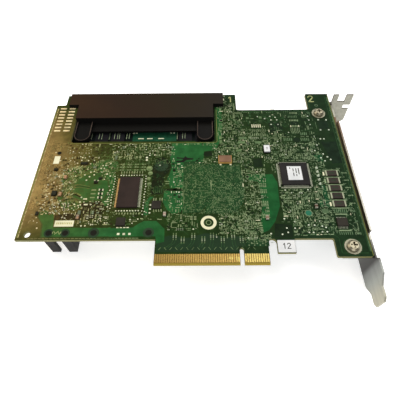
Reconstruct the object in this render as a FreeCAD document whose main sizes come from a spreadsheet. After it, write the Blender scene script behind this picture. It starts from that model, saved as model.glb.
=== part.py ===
"""Storage controller card: a full-height PCI Express add-in board that lies component side down.

Millimetres. Every piece is drawn in the card's own datum system, in which X runs from the centre of
the edge connector's key notch towards the bracket, Y runs up from the connector's edge and Z is
zero on the solder face, and is then placed so that the origin is the centre of the footprint on
the surface that the card lies on.
"""
import FreeCAD, Part
import os
import math
import Sketcher

SIZES = {
    # board outline
    "board_thick": 1.57, "card_height": 111.15, "board_left": 103.7, "board_right": 58.03,
    "board_bottom": 12.6, "corner_round": 0.8,
    "shoulder_left": 98.5, "shoulder_height": 102.75,
    "bay_left": 90.2, "bay_right": 10.65, "bay_floor": 73.3, "bay_lobe_width": 10.6,
    "bay_lobe_depth": 0.8, "bay_round": 2.5,
    "notch_left": 2.45, "notch_right": 44.6, "notch_floor": 97.5,
    "foot_left": 42.2, "foot_bottom": 3.5,
    "hook_left": 16.1, "hook_right": 24.3, "hook_bottom": 5.6,
    # edge connector
    "edge_left": 39.15, "edge_right": 12.15, "key_width": 1.9, "key_depth": 8.1,
    "edge_bevel": 0.5, "edge_bevel_rise": 1.0,
    "contact_pitch": 1.0, "contact_width": 0.7, "contact_low": 1.1, "contact_length": 4.1,
    "contact_thick": 0.04, "contact_first": 1.5, "contact_left_count": 38, "contact_right_count": 11,
    # holes in the board
    "tool_hole_x": 98.7, "tool_hole_y": 15.6, "tool_hole_dia": 3.2,
    "ring_hole_left": 67.9, "ring_hole_left_dia": 2.3,
    "ring_hole_right": 42.5, "ring_hole_right_dia": 3.0, "ring_hole_y": 16.2,
    "screw_x": 49.65, "screw_low_y": 8.2, "screw_high_y": 93.8, "screw_hole_dia": 3.2,
    # bracket
    "sheet_thick": 0.86, "plate_gap": 0.41, "plate_width": 18.42, "plate_over": 2.0,
    "bracket_height": 120.02, "bracket_top": 104.4,
    "top_tab_length": 11.43, "top_tab_arm": 5.17, "top_tab_low": 15.0, "top_tab_cut": 1.4,
    "slot_width": 4.42, "slot_centre": 5.25, "slot_floor": 0.4,
    "side_slot_depth": 3.9, "side_slot_high": 1.9, "side_slot_width": 3.0,
    "relief_below": 0.35, "relief_slope": 1.0, "high_relief": 86.0, "low_relief_top": 15.5,
    "low_relief_bottom": 3.0,
    "tongue_width": 11.1, "tongue_shoulder": 4.8, "tongue_neck": 9.3, "tongue_centre": 7.45,
    "tongue_corner": 1.7,
    "board_tab_width": 9.0, "board_tab_end": 44.9, "thread_dia": 2.6,
    "vent_across": 4.0, "vent_pitch": 5.2, "vent_row_pitch": 4.5, "vent_first": 22.0,
    "vent_count": 12, "vent_depth": 9.3,
    # bracket screws
    "screw_dia": 2.5, "screw_head_dia": 5.6, "screw_head_high": 1.7, "screw_crown_dia": 3.8,
    "screw_rim": 0.9, "screw_length": 4.6,
    "cross_width": 0.9, "cross_span": 3.0, "cross_depth": 0.9,
    "washer_dia": 7.6, "washer_thick": 0.5, "washer_bore": 3.0,
    # memory module in its bay
    "module_width": 82.0, "module_depth": 30.0, "module_thick": 1.0, "module_level": 5.4,
    "module_low": 70.4, "module_centre": 51.0, "chip_thick": 1.1, "chip_depth": 11.0,
    "chip_width": 7.4, "chip_pitch": 9.2, "chip_low": 75.6, "chip_outermost": 33.0,
    "socket_width": 91.0, "socket_low": 62.6, "socket_grip": 3.0, "socket_high": 7.4,
    "socket_slot": 0.15, "latch_width": 3.0, "latch_length": 8.0,
    "handle_clear": 0.35, "handle_left": 89.6, "handle_right": 11.2, "handle_low": 89.2,
    "handle_high": 109.9, "handle_over": 2.5, "handle_drop": 10.6, "handle_wall": 1.5,
    "ear_out": 6.0, "ear_low": 100.4, "rail_gap": 0.1, "latch_clear": 0.3,
    "lobe_width": 9.4, "lobe_low": 74.3, "lobe_thick": 2.2, "lobe_top": 0.2, "lobe_inset": 0.25,
    "lobe_rim": 0.8, "lobe_dish": 0.8,
    "band_low": 83.0, "band_top": 1.9, "band_thick": 1.2,
    # solder-side packages
    "lead_thick": 0.15, "foot_length": 0.55,
    "flash_x": 54.1, "flash_y": 38.9, "flash_width": 10.16, "flash_length": 18.41,
    "flash_top": 1.1, "flash_standoff": 0.1, "flash_pitch": 0.8, "flash_leads_a_side": 22,
    "flash_lead_width": 0.35, "flash_lead_reach": 0.8,
    "logic_x": 29.3, "logic_y": 49.2, "logic_size": 14.0, "logic_top": 1.5,
    "logic_standoff": 0.1, "logic_pitch": 0.5, "logic_leads_a_side": 25,
    "logic_lead_width": 0.22, "logic_lead_reach": 1.0,
    "sticker_thick": 0.08, "sticker_width": 7.2, "sticker_length": 8.8,
    "driver_x": 47.5, "driver_y": 20.7, "driver_width": 4.4, "driver_length": 5.0,
    "driver_top": 1.1, "driver_standoff": 0.1, "driver_pitch": 0.65, "driver_leads_a_side": 7,
    "driver_lead_width": 0.25, "driver_lead_reach": 0.9,
    "oscillator_x": 5.6, "oscillator_y": 59.4, "oscillator_width": 7.0,
    "oscillator_depth": 5.0, "oscillator_high": 0.9, "lid_inset": 0.35, "lid_thick": 0.4,
    "switch_x": 17.0, "switch_y": 66.3, "switch_width": 3.4, "switch_depth": 4.8,
    "switch_base_high": 0.8, "switch_cap_inset": 0.15, "switch_cap_high": 0.6,
    "flat_pack_size": 4.3, "flat_pack_high": 0.85,
    "sense_x": 48.4, "sense_low_y": 31.2, "sense_pitch": 4.65, "sense_count": 5,
    "sense_width": 6.4, "sense_depth": 3.3, "sense_high": 0.65, "sense_end": 0.7,
    "chip_cap_length": 2.0, "chip_cap_width": 1.25, "chip_cap_high": 0.9, "chip_cap_end": 0.4,
    # label on the hook
    "label_thick": 0.1, "label_high": 6.2, "label_inset": 0.15,
    # pin headers
    "pin_side": 0.64, "pin_pitch": 2.54, "pin_over": 0.9, "pin_reach": 8.4, "pin_bore": 1.0,
    "header_side": 2.5, "header_high": 2.5,
    "header_x": 41.45, "header_y": 48.4, "header_count": 5,
    # edge clip
    "clip_left": 92.4, "clip_low": 14.5, "clip_prong_width": 4.1, "clip_gap": 4.2,
    "clip_wall": 1.7, "clip_depth": 6.0, "clip_base": 2.2, "clip_peg_dia": 2.2,
    "clip_peg_bore": 2.5, "clip_peg_below": 0.2, "clip_peg_in": 3.6, "clip_peg_up": 1.7,
    "clip_peg_pitch": 7.7,
    # component side
    "processor_x": 12.3, "processor_y": 41.0, "processor_size": 31.0, "processor_high": 2.1,
    "pad_size": 27.0, "pad_thick": 0.3,
    "sink_width": 44.0, "sink_depth": 40.0, "sink_base": 2.0, "sink_high": 9.6,
    "fin_count": 12, "fin_gap": 2.4,
    "port_width": 20.4, "port_pitch": 21.0, "port_depth": 19.5, "port_high": 9.0,
    "port_over": 1.0, "port_wall": 0.4, "collar_out": 0.3, "collar_deep": 0.45,
    "window_width": 3.0, "window_deep": 4.0, "window_pitch": 6.0, "window_back": 5.0,
    "port_core": 7.0, "port_blade": 1.3,
    "port_blade_inset": 1.5, "port_blade_drop": 1.9,
    "choke_size": 7.0, "choke_high": 4.2, "choke_cut": 1.4,
    "can_dia": 6.3, "can_high": 7.2, "can_base": 6.6, "can_base_high": 1.0, "can_waist": 0.3,
    "can_crimp": 0.9,
    "mosfet_length": 4.9, "mosfet_width": 3.9, "mosfet_high": 1.5,
    "mosfet_standoff": 0.1,
    "mosfet_lead_width": 0.42, "mosfet_lead_reach": 1.0, "mosfet_pitch": 1.27,
    "mosfet_leads_a_side": 4,
    "plug_over": 2.6, "plug_depth": 6.0, "plug_high": 5.5, "plug_wall": 0.8,
    "plug_front": 0.5, "plug_pins": 12, "plug_pin_pitch": 2.0, "peg_clear": 0.3,
    "peg_below": 0.35,
    "buzzer_x": 50.3, "buzzer_y": 80.9, "buzzer_size": 8.5, "buzzer_high": 3.0,
    "buzzer_bore": 2.0, "buzzer_bore_deep": 1.2,
}

doc = FreeCAD.newDocument("controller_card")
sheet = doc.addObject("Spreadsheet::Sheet", "sizes")
for row, (alias, number) in enumerate(SIZES.items(), start=1):
    sheet.set("A%d" % row, alias)
    sheet.set("B%d" % row, str(number))
    sheet.setAlias("B%d" % row, alias)
doc.recompute()


def named(text):
    """Turn every size's name in a formula into a reference to its cell."""
    words = text.replace("(", " ( ").replace(")", " ) ").split()
    return " ".join("sizes." + word if word in SIZES else word for word in words)


def value(text):
    """Work a formula out to a plain number."""
    return float(sheet.evalExpression(named(str(text))))


# Levels and places that several pieces share.
UNDERSIDE = "( 0 - board_thick )"
PLATE_INNER = "( board_right + plate_gap )"
PLATE_OUTER = "( board_right + plate_gap + sheet_thick )"
REST = "( plate_over - plate_width )"
TONGUE_TIP = "( bracket_top - bracket_height )"
SHIFT = {
    "x": "( board_left - board_right - plate_gap - sheet_thick - top_tab_length ) / 2",
    "y": "0 - ( card_height + bracket_top - bracket_height ) / 2",
    "z": "plate_width - plate_over",
}
# Where the small square packages and the chip capacitors stand on the solder face.
FLAT_SPOTS = [(-39.9, 31.2), (-56.0, 21.8)]
CAPACITOR_SPOTS = [(-87.5, 48.6), (-88.0, 38.0), (-76.8, 24.6), (-35.6, 25.9), (13.0, 23.6),
                   (37.1, 29.8)]
# Where the parts of the converter stand on the component face.
CHOKE_SPOTS = [(18.0, 68.0), (28.0, 68.0), (38.0, 68.0)]
CAN_SPOTS = [(18.0, 52.0), (18.0, 43.0), (30.0, 22.0), (51.0, 36.0)]
MOSFET_SPOTS = [(29.0, 56.0), (29.0, 48.0), (29.0, 40.0), (51.0, 60.0)]
subparts = []


def place(piece):
    """Move a finished piece from the card's datums to the origin of the part."""
    for axis, formula in SHIFT.items():
        piece.setExpression("Placement.Base." + axis, named(formula))
    subparts.append(piece)
    return piece


def new_body(label):
    body = doc.addObject("PartDesign::Body", label)
    body.Label = label
    return place(body)


def new_sketch(body, role, level):
    """An empty sketch on one of the body's own planes, moved along its normal."""
    sketch = body.newObject("Sketcher::SketchObject", "sketch")
    plane = next(item for item in body.Origin.OriginFeatures if item.Role == role)
    sketch.AttachmentSupport = (plane, "")
    sketch.MapMode = "FlatFace"
    sketch.setExpression("AttachmentOffset.Base.z", named(level))
    return sketch


def draw_loop(sketch, corners):
    """Close a polygon through the corners, each of which is tied to its two formulas."""
    start = sketch.GeometryCount
    count = len(corners)
    points = [FreeCAD.Vector(value(across), value(up), 0) for across, up in corners]
    for index in range(count):
        sketch.addGeometry(Part.LineSegment(points[index], points[(index + 1) % count]))
    for index in range(count):
        after = start + (index + 1) % count
        sketch.addConstraint(Sketcher.Constraint("Coincident", start + index, 2, after, 1))
    for index, corner in enumerate(corners):
        for kind, formula, number in zip(("DistanceX", "DistanceY"), corner, points[index]):
            tie = sketch.addConstraint(Sketcher.Constraint(kind, start + index, 1, number))
            sketch.setExpression("Constraints[%d]" % tie, named(formula))


def draw_circle(sketch, across, up, diameter):
    centre = FreeCAD.Vector(value(across), value(up), 0)
    radius = value(diameter) / 2
    ring = sketch.addGeometry(Part.Circle(centre, FreeCAD.Vector(0, 0, 1), radius))
    for kind, formula, number in (("DistanceX", across, centre.x), ("DistanceY", up, centre.y)):
        tie = sketch.addConstraint(Sketcher.Constraint(kind, ring, 3, number))
        sketch.setExpression("Constraints[%d]" % tie, named(formula))
    tie = sketch.addConstraint(Sketcher.Constraint("Diameter", ring, 2 * radius))
    sketch.setExpression("Constraints[%d]" % tie, named(diameter))


def rectangle(left, right, low, high):
    return [(left, low), (right, low), (right, high), (left, high)]


def solid(body, kind, sketch, length, backwards=False):
    """Pad or pocket a sketch by a formula."""
    feature = body.newObject("PartDesign::" + kind, kind.lower())
    feature.Profile = sketch
    feature.setExpression("Length", named(length))
    feature.Reversed = backwards
    return feature


def upright_edges(feature, places):
    """Names of the edges along Z that stand at the given places."""
    doc.recompute()
    wanted = [(value(across), value(up)) for across, up in places]
    names = []
    for index, edge in enumerate(feature.Shape.Edges, start=1):
        first, last = edge.Vertexes[0].Point, edge.Vertexes[-1].Point
        if math.hypot(first.x - last.x, first.y - last.y) > 1e-4:
            continue
        if any(math.hypot(first.x - x, first.y - y) < 1e-3 for x, y in wanted):
            names.append("Edge%d" % index)
    return names


def rounded(body, places, radius):
    """Fillet the upright edges of the body's last feature at the given places."""
    base = body.Tip
    fillet = body.newObject("PartDesign::Fillet", "fillet")
    fillet.Base = (base, upright_edges(base, places))
    fillet.setExpression("Radius", named(radius))
    return fillet


def group(label, shapes):
    """Several like solids that share one node."""
    piece = doc.addObject("Part::Feature", label)
    piece.Label = label
    piece.Shape = Part.makeCompound(shapes)
    return place(piece)


def block(left, right, low, high, bottom, top):
    """A plain box between formulas or numbers."""
    edges = [value(item) for item in (left, right, low, high, bottom, top)]
    spans = [edges[index + 1] - edges[index] for index in (0, 2, 4)]
    return Part.makeBox(*spans, FreeCAD.Vector(edges[0], edges[2], edges[4]))


def block_about(x, y, width, depth, bottom, top):
    x, y, width, depth = (value(item) for item in (x, y, width, depth))
    return block(x - width / 2, x + width / 2, y - depth / 2, y + depth / 2, bottom, top)


# ---------------------------------------------------------------- board

def make_board():
    body = new_body("circuit_board")
    sketch = new_sketch(body, "XY_Plane", UNDERSIDE)
    key = "key_width / 2"
    key_top = "( key_depth - key_width / 2 )"
    slot_top = "( board_bottom - ( hook_left - edge_right ) / 2 )"
    outline = [
        ("0 - board_left", "board_bottom"), ("0 - edge_left", "board_bottom"),
        ("0 - edge_left", "0"), ("0 - " + key, "0"), ("0 - " + key, key_top),
        (key, key_top), (key, "0"), ("edge_right", "0"),
        ("edge_right", slot_top), ("hook_left", slot_top), ("hook_left", "hook_bottom"),
        ("hook_right", "hook_bottom"), ("hook_right", "board_bottom"),
        ("foot_left", "board_bottom"), ("foot_left", "foot_bottom"),
        ("board_right", "foot_bottom"), ("board_right", "card_height"),
        ("notch_right", "card_height"), ("notch_right", "notch_floor"),
        ("notch_left", "notch_floor"), ("notch_left", "card_height"),
        ("0 - bay_right", "card_height"), ("0 - bay_right", "bay_floor - bay_lobe_depth"),
        ("0 - bay_right - bay_lobe_width", "bay_floor - bay_lobe_depth"),
        ("0 - bay_right - bay_lobe_width", "bay_floor"),
        ("0 - bay_left + bay_lobe_width", "bay_floor"),
        ("0 - bay_left + bay_lobe_width", "bay_floor - bay_lobe_depth"),
        ("0 - bay_left", "bay_floor - bay_lobe_depth"), ("0 - bay_left", "card_height"),
        ("0 - shoulder_left", "card_height"), ("0 - shoulder_left", "shoulder_height"),
        ("0 - board_left", "shoulder_height"),
    ]
    draw_loop(sketch, outline)
    solid(body, "Pad", sketch, "board_thick")
    # The key notch and the slot beside the hook end in half rounds.
    ends = new_sketch(body, "XY_Plane", "0")
    draw_circle(ends, "0", key_top, "key_width")
    draw_circle(ends, "( edge_right + hook_left ) / 2", slot_top, "hook_left - edge_right")
    for hole_x, hole_y, bore in board_holes():
        draw_circle(ends, hole_x, hole_y, bore)
    solid(body, "Pocket", ends, "board_thick")
    corners = [outline[index] for index in (13, 14, 15, 17, 18, 19, 20, 30)]
    rounded(body, corners, "corner_round")
    rounded(body, [outline[22], outline[27]], "bay_round")
    # Lead-in bevels on both faces of the edge connector.
    for level, backwards in (("0", 1), (UNDERSIDE, -1)):
        bevel = new_sketch(body, "YZ_Plane", "0 - edge_left")
        inward = "%s - %d * edge_bevel" % (level, backwards)
        draw_loop(bevel, [("0", level), ("edge_bevel_rise", level), ("0", inward)])
        solid(body, "Pocket", bevel, "edge_left + edge_right", backwards=True)


def header_places():
    """Pins of the upright header, in a column."""
    middle = "( header_count - 1 ) / 2"
    return [("header_x", "header_y + ( %d - %s ) * pin_pitch" % (index, middle))
            for index in range(int(SIZES["header_count"]))]


def clip_pegs():
    """Places of the clip's two pegs."""
    return [("0 - clip_left + clip_peg_in + %d * clip_peg_pitch" % index,
             "clip_low + clip_peg_up") for index in range(2)]


def board_holes():
    """Place and bore of each hole through the board."""
    holes = [
        ("0 - tool_hole_x", "tool_hole_y", "tool_hole_dia"),
        ("0 - ring_hole_left", "ring_hole_y", "ring_hole_left_dia"),
        ("0 - ring_hole_right", "ring_hole_y", "ring_hole_right_dia"),
        ("screw_x", "screw_low_y", "screw_hole_dia"),
        ("screw_x", "screw_high_y", "screw_hole_dia"),
    ]
    holes += [(x, y, "clip_peg_bore") for x, y in clip_pegs()]
    holes += [(x, y, "pin_bore") for x, y in header_places()]
    return holes


def make_edge_contacts():
    """Gold fingers on both faces, counted outwards from the key notch."""
    counts = ((1, "contact_right_count"), (-1, "contact_left_count"))
    thick = value("contact_thick")
    under = value(UNDERSIDE)
    fingers = []
    for side, count in counts:
        for index in range(int(value(count))):
            x = side * (value("contact_first") + index * value("contact_pitch"))
            half = value("contact_width") / 2
            top = value("contact_low + contact_length")
            for bottom in (0, under - thick):
                fingers.append(block(x - half, x + half, "contact_low", top,
                                     bottom, bottom + thick))
    group("edge_contacts", fingers)


# ---------------------------------------------------------------- bracket

def make_bracket():
    """One folded sheet: plate with tongue, slotted top tab and two tabs under the board."""
    body = new_body("bracket")
    plate = new_sketch(body, "YZ_Plane", PLATE_INNER)
    half = "tongue_width / 2"
    left = "0 - tongue_centre - " + half
    right = "0 - tongue_centre + " + half
    relief = "0 - relief_below"
    draw_loop(plate, [
        ("bracket_top", REST), ("bracket_top", relief), ("high_relief", relief),
        ("high_relief", "plate_over"), ("low_relief_top", "plate_over"),
        ("low_relief_top", relief), ("low_relief_bottom", relief),
        ("low_relief_bottom - relief_slope", "plate_over"), ("0 - tongue_shoulder", "plate_over"),
        ("0 - tongue_neck", right), (TONGUE_TIP + " + tongue_corner", right),
        (TONGUE_TIP, right + " - tongue_corner"), (TONGUE_TIP, left + " + tongue_corner"),
        (TONGUE_TIP + " + tongue_corner", left), ("0 - tongue_neck", left),
        ("0 - tongue_shoulder", REST),
    ])
    solid(body, "Pad", plate, "sheet_thick")
    # The top tab is folded outwards and its two arms reach over the board side.
    tab = new_sketch(body, "XZ_Plane", "sheet_thick - bracket_top")
    outer = PLATE_OUTER + " + top_tab_length"
    slot_left = PLATE_OUTER + " + slot_centre - slot_width / 2"
    slot_right = PLATE_OUTER + " + slot_centre + slot_width / 2"
    draw_loop(tab, [
        (PLATE_INNER, "0 - top_tab_low"), (outer + " - top_tab_cut", "0 - top_tab_low"),
        (outer, "top_tab_cut - top_tab_low"), (outer, "0 - side_slot_high - side_slot_width"),
        (outer + " - side_slot_depth", "0 - side_slot_high - side_slot_width"),
        (outer + " - side_slot_depth", "0 - side_slot_high"), (outer, "0 - side_slot_high"),
        (outer, "top_tab_arm"), (slot_right, "top_tab_arm"), (slot_right, "slot_floor"),
        (slot_left, "slot_floor"), (slot_left, "top_tab_arm"),
        (PLATE_OUTER, "top_tab_arm"), (PLATE_OUTER, relief), (PLATE_INNER, relief),
    ])
    solid(body, "Pad", tab, "sheet_thick", backwards=True)
    for height in ("screw_low_y", "screw_high_y"):
        tongue = new_sketch(body, "XY_Plane", UNDERSIDE + " - sheet_thick")
        draw_loop(tongue, rectangle("board_tab_end", PLATE_OUTER, height + " - board_tab_width / 2",
                                    height + " + board_tab_width / 2"))
        draw_circle(tongue, "screw_x", height, "thread_dia")
        solid(body, "Pad", tongue, "sheet_thick")
    make_vents(body)


def make_vents(body):
    """Two staggered rows of hexagonal air holes through the plate."""
    for row in (-1, 1):
        rows = new_sketch(body, "YZ_Plane", PLATE_INNER)
        centre_z = "0 - vent_depth + %s * vent_row_pitch / 2" % row
        for index in range(int(value("vent_count"))):
            centre = "vent_first + %s * vent_pitch" % (index + 0.25 * (1 + row))
            corners = []
            for turn in range(6):
                angle = math.radians(60 * turn)
                corners.append(("%s + vent_across * %.6f" % (centre, math.cos(angle) / math.sqrt(3)),
                                "%s + vent_across * %.6f" % (centre_z, math.sin(angle) / math.sqrt(3))))
            draw_loop(rows, corners)
        solid(body, "Pocket", rows, "sheet_thick", backwards=True)


def turned(profile, place):
    """A solid turned about an upright axis, from (radius, height) points that start on the axis."""
    points = [place + FreeCAD.Vector(out, 0, up) for out, up in profile]
    face = Part.Face(Part.makePolygon(points + points[:1]))
    return face.revolve(place, FreeCAD.Vector(0, 0, 1), 360)


def make_screws():
    """Pan heads with a cross recess on the solder face, and the washers beneath them."""
    screws = []
    washers = []
    rim, crown = value("screw_head_dia") / 2, value("screw_crown_dia") / 2
    shank, high = value("screw_dia") / 2, value("screw_head_high")
    profile = [(0, -value("screw_length")), (shank, -value("screw_length")), (shank, 0), (rim, 0),
               (rim, value("screw_rim")), (crown, high), (0, high)]
    for height in ("screw_low_y", "screw_high_y"):
        foot = FreeCAD.Vector(value("screw_x"), value(height), value("washer_thick"))
        screw = turned(profile, foot)
        top = "washer_thick + screw_head_high"
        for width, depth in (("cross_width", "cross_span"), ("cross_span", "cross_width")):
            screw = screw.cut(block_about("screw_x", height, width, depth,
                                          top + " - cross_depth", top))
        screws.append(screw)
        seat = FreeCAD.Vector(foot.x, foot.y, 0)
        ring = Part.makeCylinder(value("washer_dia") / 2, value("washer_thick"), seat)
        bore = Part.makeCylinder(value("washer_bore") / 2, value("washer_thick"), seat)
        washers.append(ring.cut(bore))
    group("bracket_screws", screws)
    group("screw_washers", washers)


# ---------------------------------------------------------------- memory module

MODULE_TOP = "( 0 - module_level + module_thick / 2 )"
MODULE_BOTTOM = "( 0 - module_level - module_thick / 2 )"


def make_memory():
    board = new_body("memory_board")
    sketch = new_sketch(board, "XY_Plane", MODULE_BOTTOM)
    half = "module_width / 2"
    draw_loop(sketch, rectangle("0 - module_centre - " + half, "0 - module_centre + " + half,
                                "module_low", "module_low + module_depth"))
    solid(board, "Pad", sketch, "module_thick")
    chips = []
    banks = ((MODULE_TOP, -1, 3), (MODULE_TOP, 1, 2), (MODULE_BOTTOM + " - chip_thick", -1, 3),
             (MODULE_BOTTOM + " - chip_thick", 1, 3))
    for level, side, count in banks:
        for index in range(count):
            x = "0 - module_centre + %d * ( chip_outermost - %d * chip_pitch )" % (side, index)
            chips.append(block_about(x, "chip_low + chip_depth / 2", "chip_width", "chip_depth",
                                     level, level + " + chip_thick"))
    group("memory_chips", chips)


def make_socket():
    """Right-angle socket under the bay's lower edge, with a latch beam at each end."""
    body = new_body("memory_socket")
    sketch = new_sketch(body, "XY_Plane", UNDERSIDE + " - socket_high")
    half = "socket_width / 2"
    left, right = "0 - module_centre - " + half, "0 - module_centre + " + half
    mouth = "module_low + socket_grip"
    beam = mouth + " + latch_length"
    draw_loop(sketch, [
        (left, "socket_low"), (right, "socket_low"), (right, beam),
        (right + " - latch_width", beam), (right + " - latch_width", mouth),
        (left + " + latch_width", mouth), (left + " + latch_width", beam), (left, beam),
    ])
    solid(body, "Pad", sketch, "socket_high")
    slot = new_sketch(body, "XY_Plane", MODULE_TOP + " + socket_slot")
    half = "( module_width / 2 + socket_slot )"
    draw_loop(slot, rectangle("0 - module_centre - " + half, "0 - module_centre + " + half,
                              "module_low - socket_slot", mouth))
    solid(body, "Pocket", slot, "module_thick + 2 * socket_slot")


def lobe(body, kind, middle, radius, level, depth):
    """A straight strip that ends in a half round, raised or sunk."""
    centre = "lobe_low + ( lobe_width - lobe_inset ) / 2"
    strip = new_sketch(body, "XY_Plane", level)
    draw_loop(strip, rectangle("%s - ( %s )" % (middle, radius), "%s + ( %s )" % (middle, radius),
                               centre, "handle_low"))
    solid(body, kind, strip, depth)
    end = new_sketch(body, "XY_Plane", level)
    draw_circle(end, middle, centre, "2 * ( %s )" % radius)
    solid(body, kind, end, depth)


def make_handle():
    """Moulded shell over the module's far edge, which grips the board on both sides of the bay."""
    body = new_body("module_handle")
    left, right = "0 - handle_left", "0 - handle_right"
    wide_left = "0 - module_centre - module_width / 2 - handle_clear - handle_wall"
    wide_right = "0 - module_centre + module_width / 2 + handle_clear + handle_wall"
    under = UNDERSIDE + " - rail_gap"
    # Below the board it is wide enough to house the module.
    lower = new_sketch(body, "XY_Plane", "0 - handle_drop")
    draw_loop(lower, rectangle(wide_left, wide_right, "handle_low", "handle_high"))
    solid(body, "Pad", lower, "handle_drop + " + under)
    # Two rails carry on from its sides to the socket's latches and guide the module's edges.
    rail_low = "module_low + socket_grip + latch_length + latch_clear"
    rails = new_sketch(body, "XY_Plane", "0 - handle_drop")
    draw_loop(rails, rectangle(wide_left, wide_left + " + handle_wall", rail_low, "handle_low"))
    draw_loop(rails, rectangle(wide_right + " - handle_wall", wide_right, rail_low, "handle_low"))
    solid(body, "Pad", rails, "handle_drop + " + under)
    # Through the bay it is as wide as the bay lets it be.
    neck = new_sketch(body, "XY_Plane", under)
    draw_loop(neck, rectangle(left, right, "handle_low", "handle_high"))
    solid(body, "Pad", neck, "handle_over - ( %s )" % under)
    # Its ears ride on the solder face.
    ears = new_sketch(body, "XY_Plane", "rail_gap")
    draw_loop(ears, rectangle(left + " - ear_out", right + " + ear_out", "ear_low", "handle_high"))
    solid(body, "Pad", ears, "handle_over - rail_gap")
    # A band below the top skin holds the module's edge between the two lobes.
    band = new_sketch(body, "XY_Plane", "0 - band_top - band_thick")
    draw_loop(band, rectangle(left + " + lobe_width", right + " - lobe_width", "band_low",
                              "handle_low"))
    solid(body, "Pad", band, "band_thick")
    # Finger lobes with half-round ends and a raised rim.
    radius = "( lobe_width - lobe_inset ) / 2"
    for edge, sign in ((left, 1), (right, -1)):
        middle = "%s + %d * ( lobe_width + lobe_inset ) / 2" % (edge, sign)
        lobe(body, "Pad", middle, radius, "0 - lobe_top - lobe_thick", "lobe_thick")
        lobe(body, "Pocket", middle, radius + " - lobe_rim", "0 - lobe_top", "lobe_dish")
    # The module's edge slides into a chamber that opens towards the socket.
    chamber = new_sketch(body, "XZ_Plane", "0 - handle_low")
    draw_loop(chamber, rectangle(wide_left + " + handle_wall", wide_right + " - handle_wall",
                                 "handle_wall - handle_drop", "0 - band_top - band_thick"))
    solid(body, "Pocket", chamber, "module_low + module_depth + handle_clear - handle_low")


# ---------------------------------------------------------------- packages with leads

def gull_wing(reach, level, width):
    """One lead at the origin that falls from its level on a body's face at Y = 0 to its foot."""
    thick = value("lead_thick")
    high, reach = value(level), value(reach)
    knee = max(reach - value("foot_length"), thick)
    profile = [(0, high), (-knee, thick), (-reach, thick), (-reach, 0), (-knee, 0),
               (0, high - thick)]
    points = [FreeCAD.Vector(-value(width) / 2, y, z) for y, z in profile]
    wire = Part.makePolygon(points + points[:1])
    return Part.Face(wire).extrude(FreeCAD.Vector(value(width), 0, 0))


def lead_row(lead, count, pitch, x, y, angle, half):
    """Copies of a lead along one side of a package, turned about its centre."""
    row = []
    for index in range(count):
        copy = lead.copy()
        copy.translate(FreeCAD.Vector((index - (count - 1) / 2) * pitch, -half, 0))
        copy.rotate(FreeCAD.Vector(0, 0, 0), FreeCAD.Vector(0, 0, 1), angle)
        copy.translate(FreeCAD.Vector(x, y, 0))
        row.append(copy)
    return row


def package(label, x, y, width, length, standoff, top, draft="lead_thick"):
    """A moulded package with a bevelled upper half."""
    body = new_body(label)
    sketch = new_sketch(body, "XY_Plane", standoff)
    low, high = "%s - %s / 2" % (y, length), "%s + %s / 2" % (y, length)
    draw_loop(sketch, rectangle("%s - %s / 2" % (x, width), "%s + %s / 2" % (x, width), low, high))
    feature = solid(body, "Pad", sketch, "%s - %s" % (top, standoff))
    doc.recompute()
    level = value(top)
    rim = ["Edge%d" % index for index, edge in enumerate(feature.Shape.Edges, start=1)
           if all(abs(point.Point.z - level) < 1e-4 for point in edge.Vertexes)]
    bevel = body.newObject("PartDesign::Chamfer", "bevel")
    bevel.Base = (feature, rim)
    bevel.setExpression("Size", named(draft))
    return body


def make_packages():
    package("flash_chip", "( 0 - flash_x )", "flash_y", "flash_width", "flash_length",
            "flash_standoff", "flash_top")
    lead = gull_wing("flash_lead_reach", "flash_top / 2", "flash_lead_width")
    rows = []
    for angle in (90, 270):
        rows += lead_row(lead, int(value("flash_leads_a_side")), value("flash_pitch"),
                         -value("flash_x"), value("flash_y"), angle, value("flash_width") / 2)
    group("flash_leads", rows)
    package("logic_chip", "logic_x", "logic_y", "logic_size", "logic_size", "logic_standoff",
            "logic_top")
    lead = gull_wing("logic_lead_reach", "logic_top / 2", "logic_lead_width")
    rows = []
    for angle in (0, 90, 180, 270):
        rows += lead_row(lead, int(value("logic_leads_a_side")), value("logic_pitch"),
                         value("logic_x"), value("logic_y"), angle, value("logic_size") / 2)
    group("logic_leads", rows)
    group("logic_sticker", [block_about("logic_x", "logic_y", "sticker_width", "sticker_length",
                                        "logic_top", "logic_top + sticker_thick")])
    package("driver_chip", "driver_x", "driver_y", "driver_length", "driver_width",
            "driver_standoff", "driver_top")
    lead = gull_wing("driver_lead_reach", "driver_top / 2", "driver_lead_width")
    rows = []
    for angle in (0, 180):
        rows += lead_row(lead, int(value("driver_leads_a_side")), value("driver_pitch"),
                         value("driver_x"), value("driver_y"), angle, value("driver_width") / 2)
    group("driver_leads", rows)


def chip_parts(x, y, long, wide, high, end, along_x):
    """A chip part's body and its two end caps."""
    body = "( %s - 2 * %s )" % (long, end)
    shift = "( %s - %s ) / 2" % (long, end)
    if along_x:
        ends = [block_about("%s + %d * %s" % (x, side, shift), y, end, wide, 0, high)
                for side in (-1, 1)]
        return block_about(x, y, body, wide, 0, high), ends
    ends = [block_about(x, "%s + %d * %s" % (y, side, shift), wide, end, 0, high)
            for side in (-1, 1)]
    return block_about(x, y, wide, body, 0, high), ends


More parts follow.
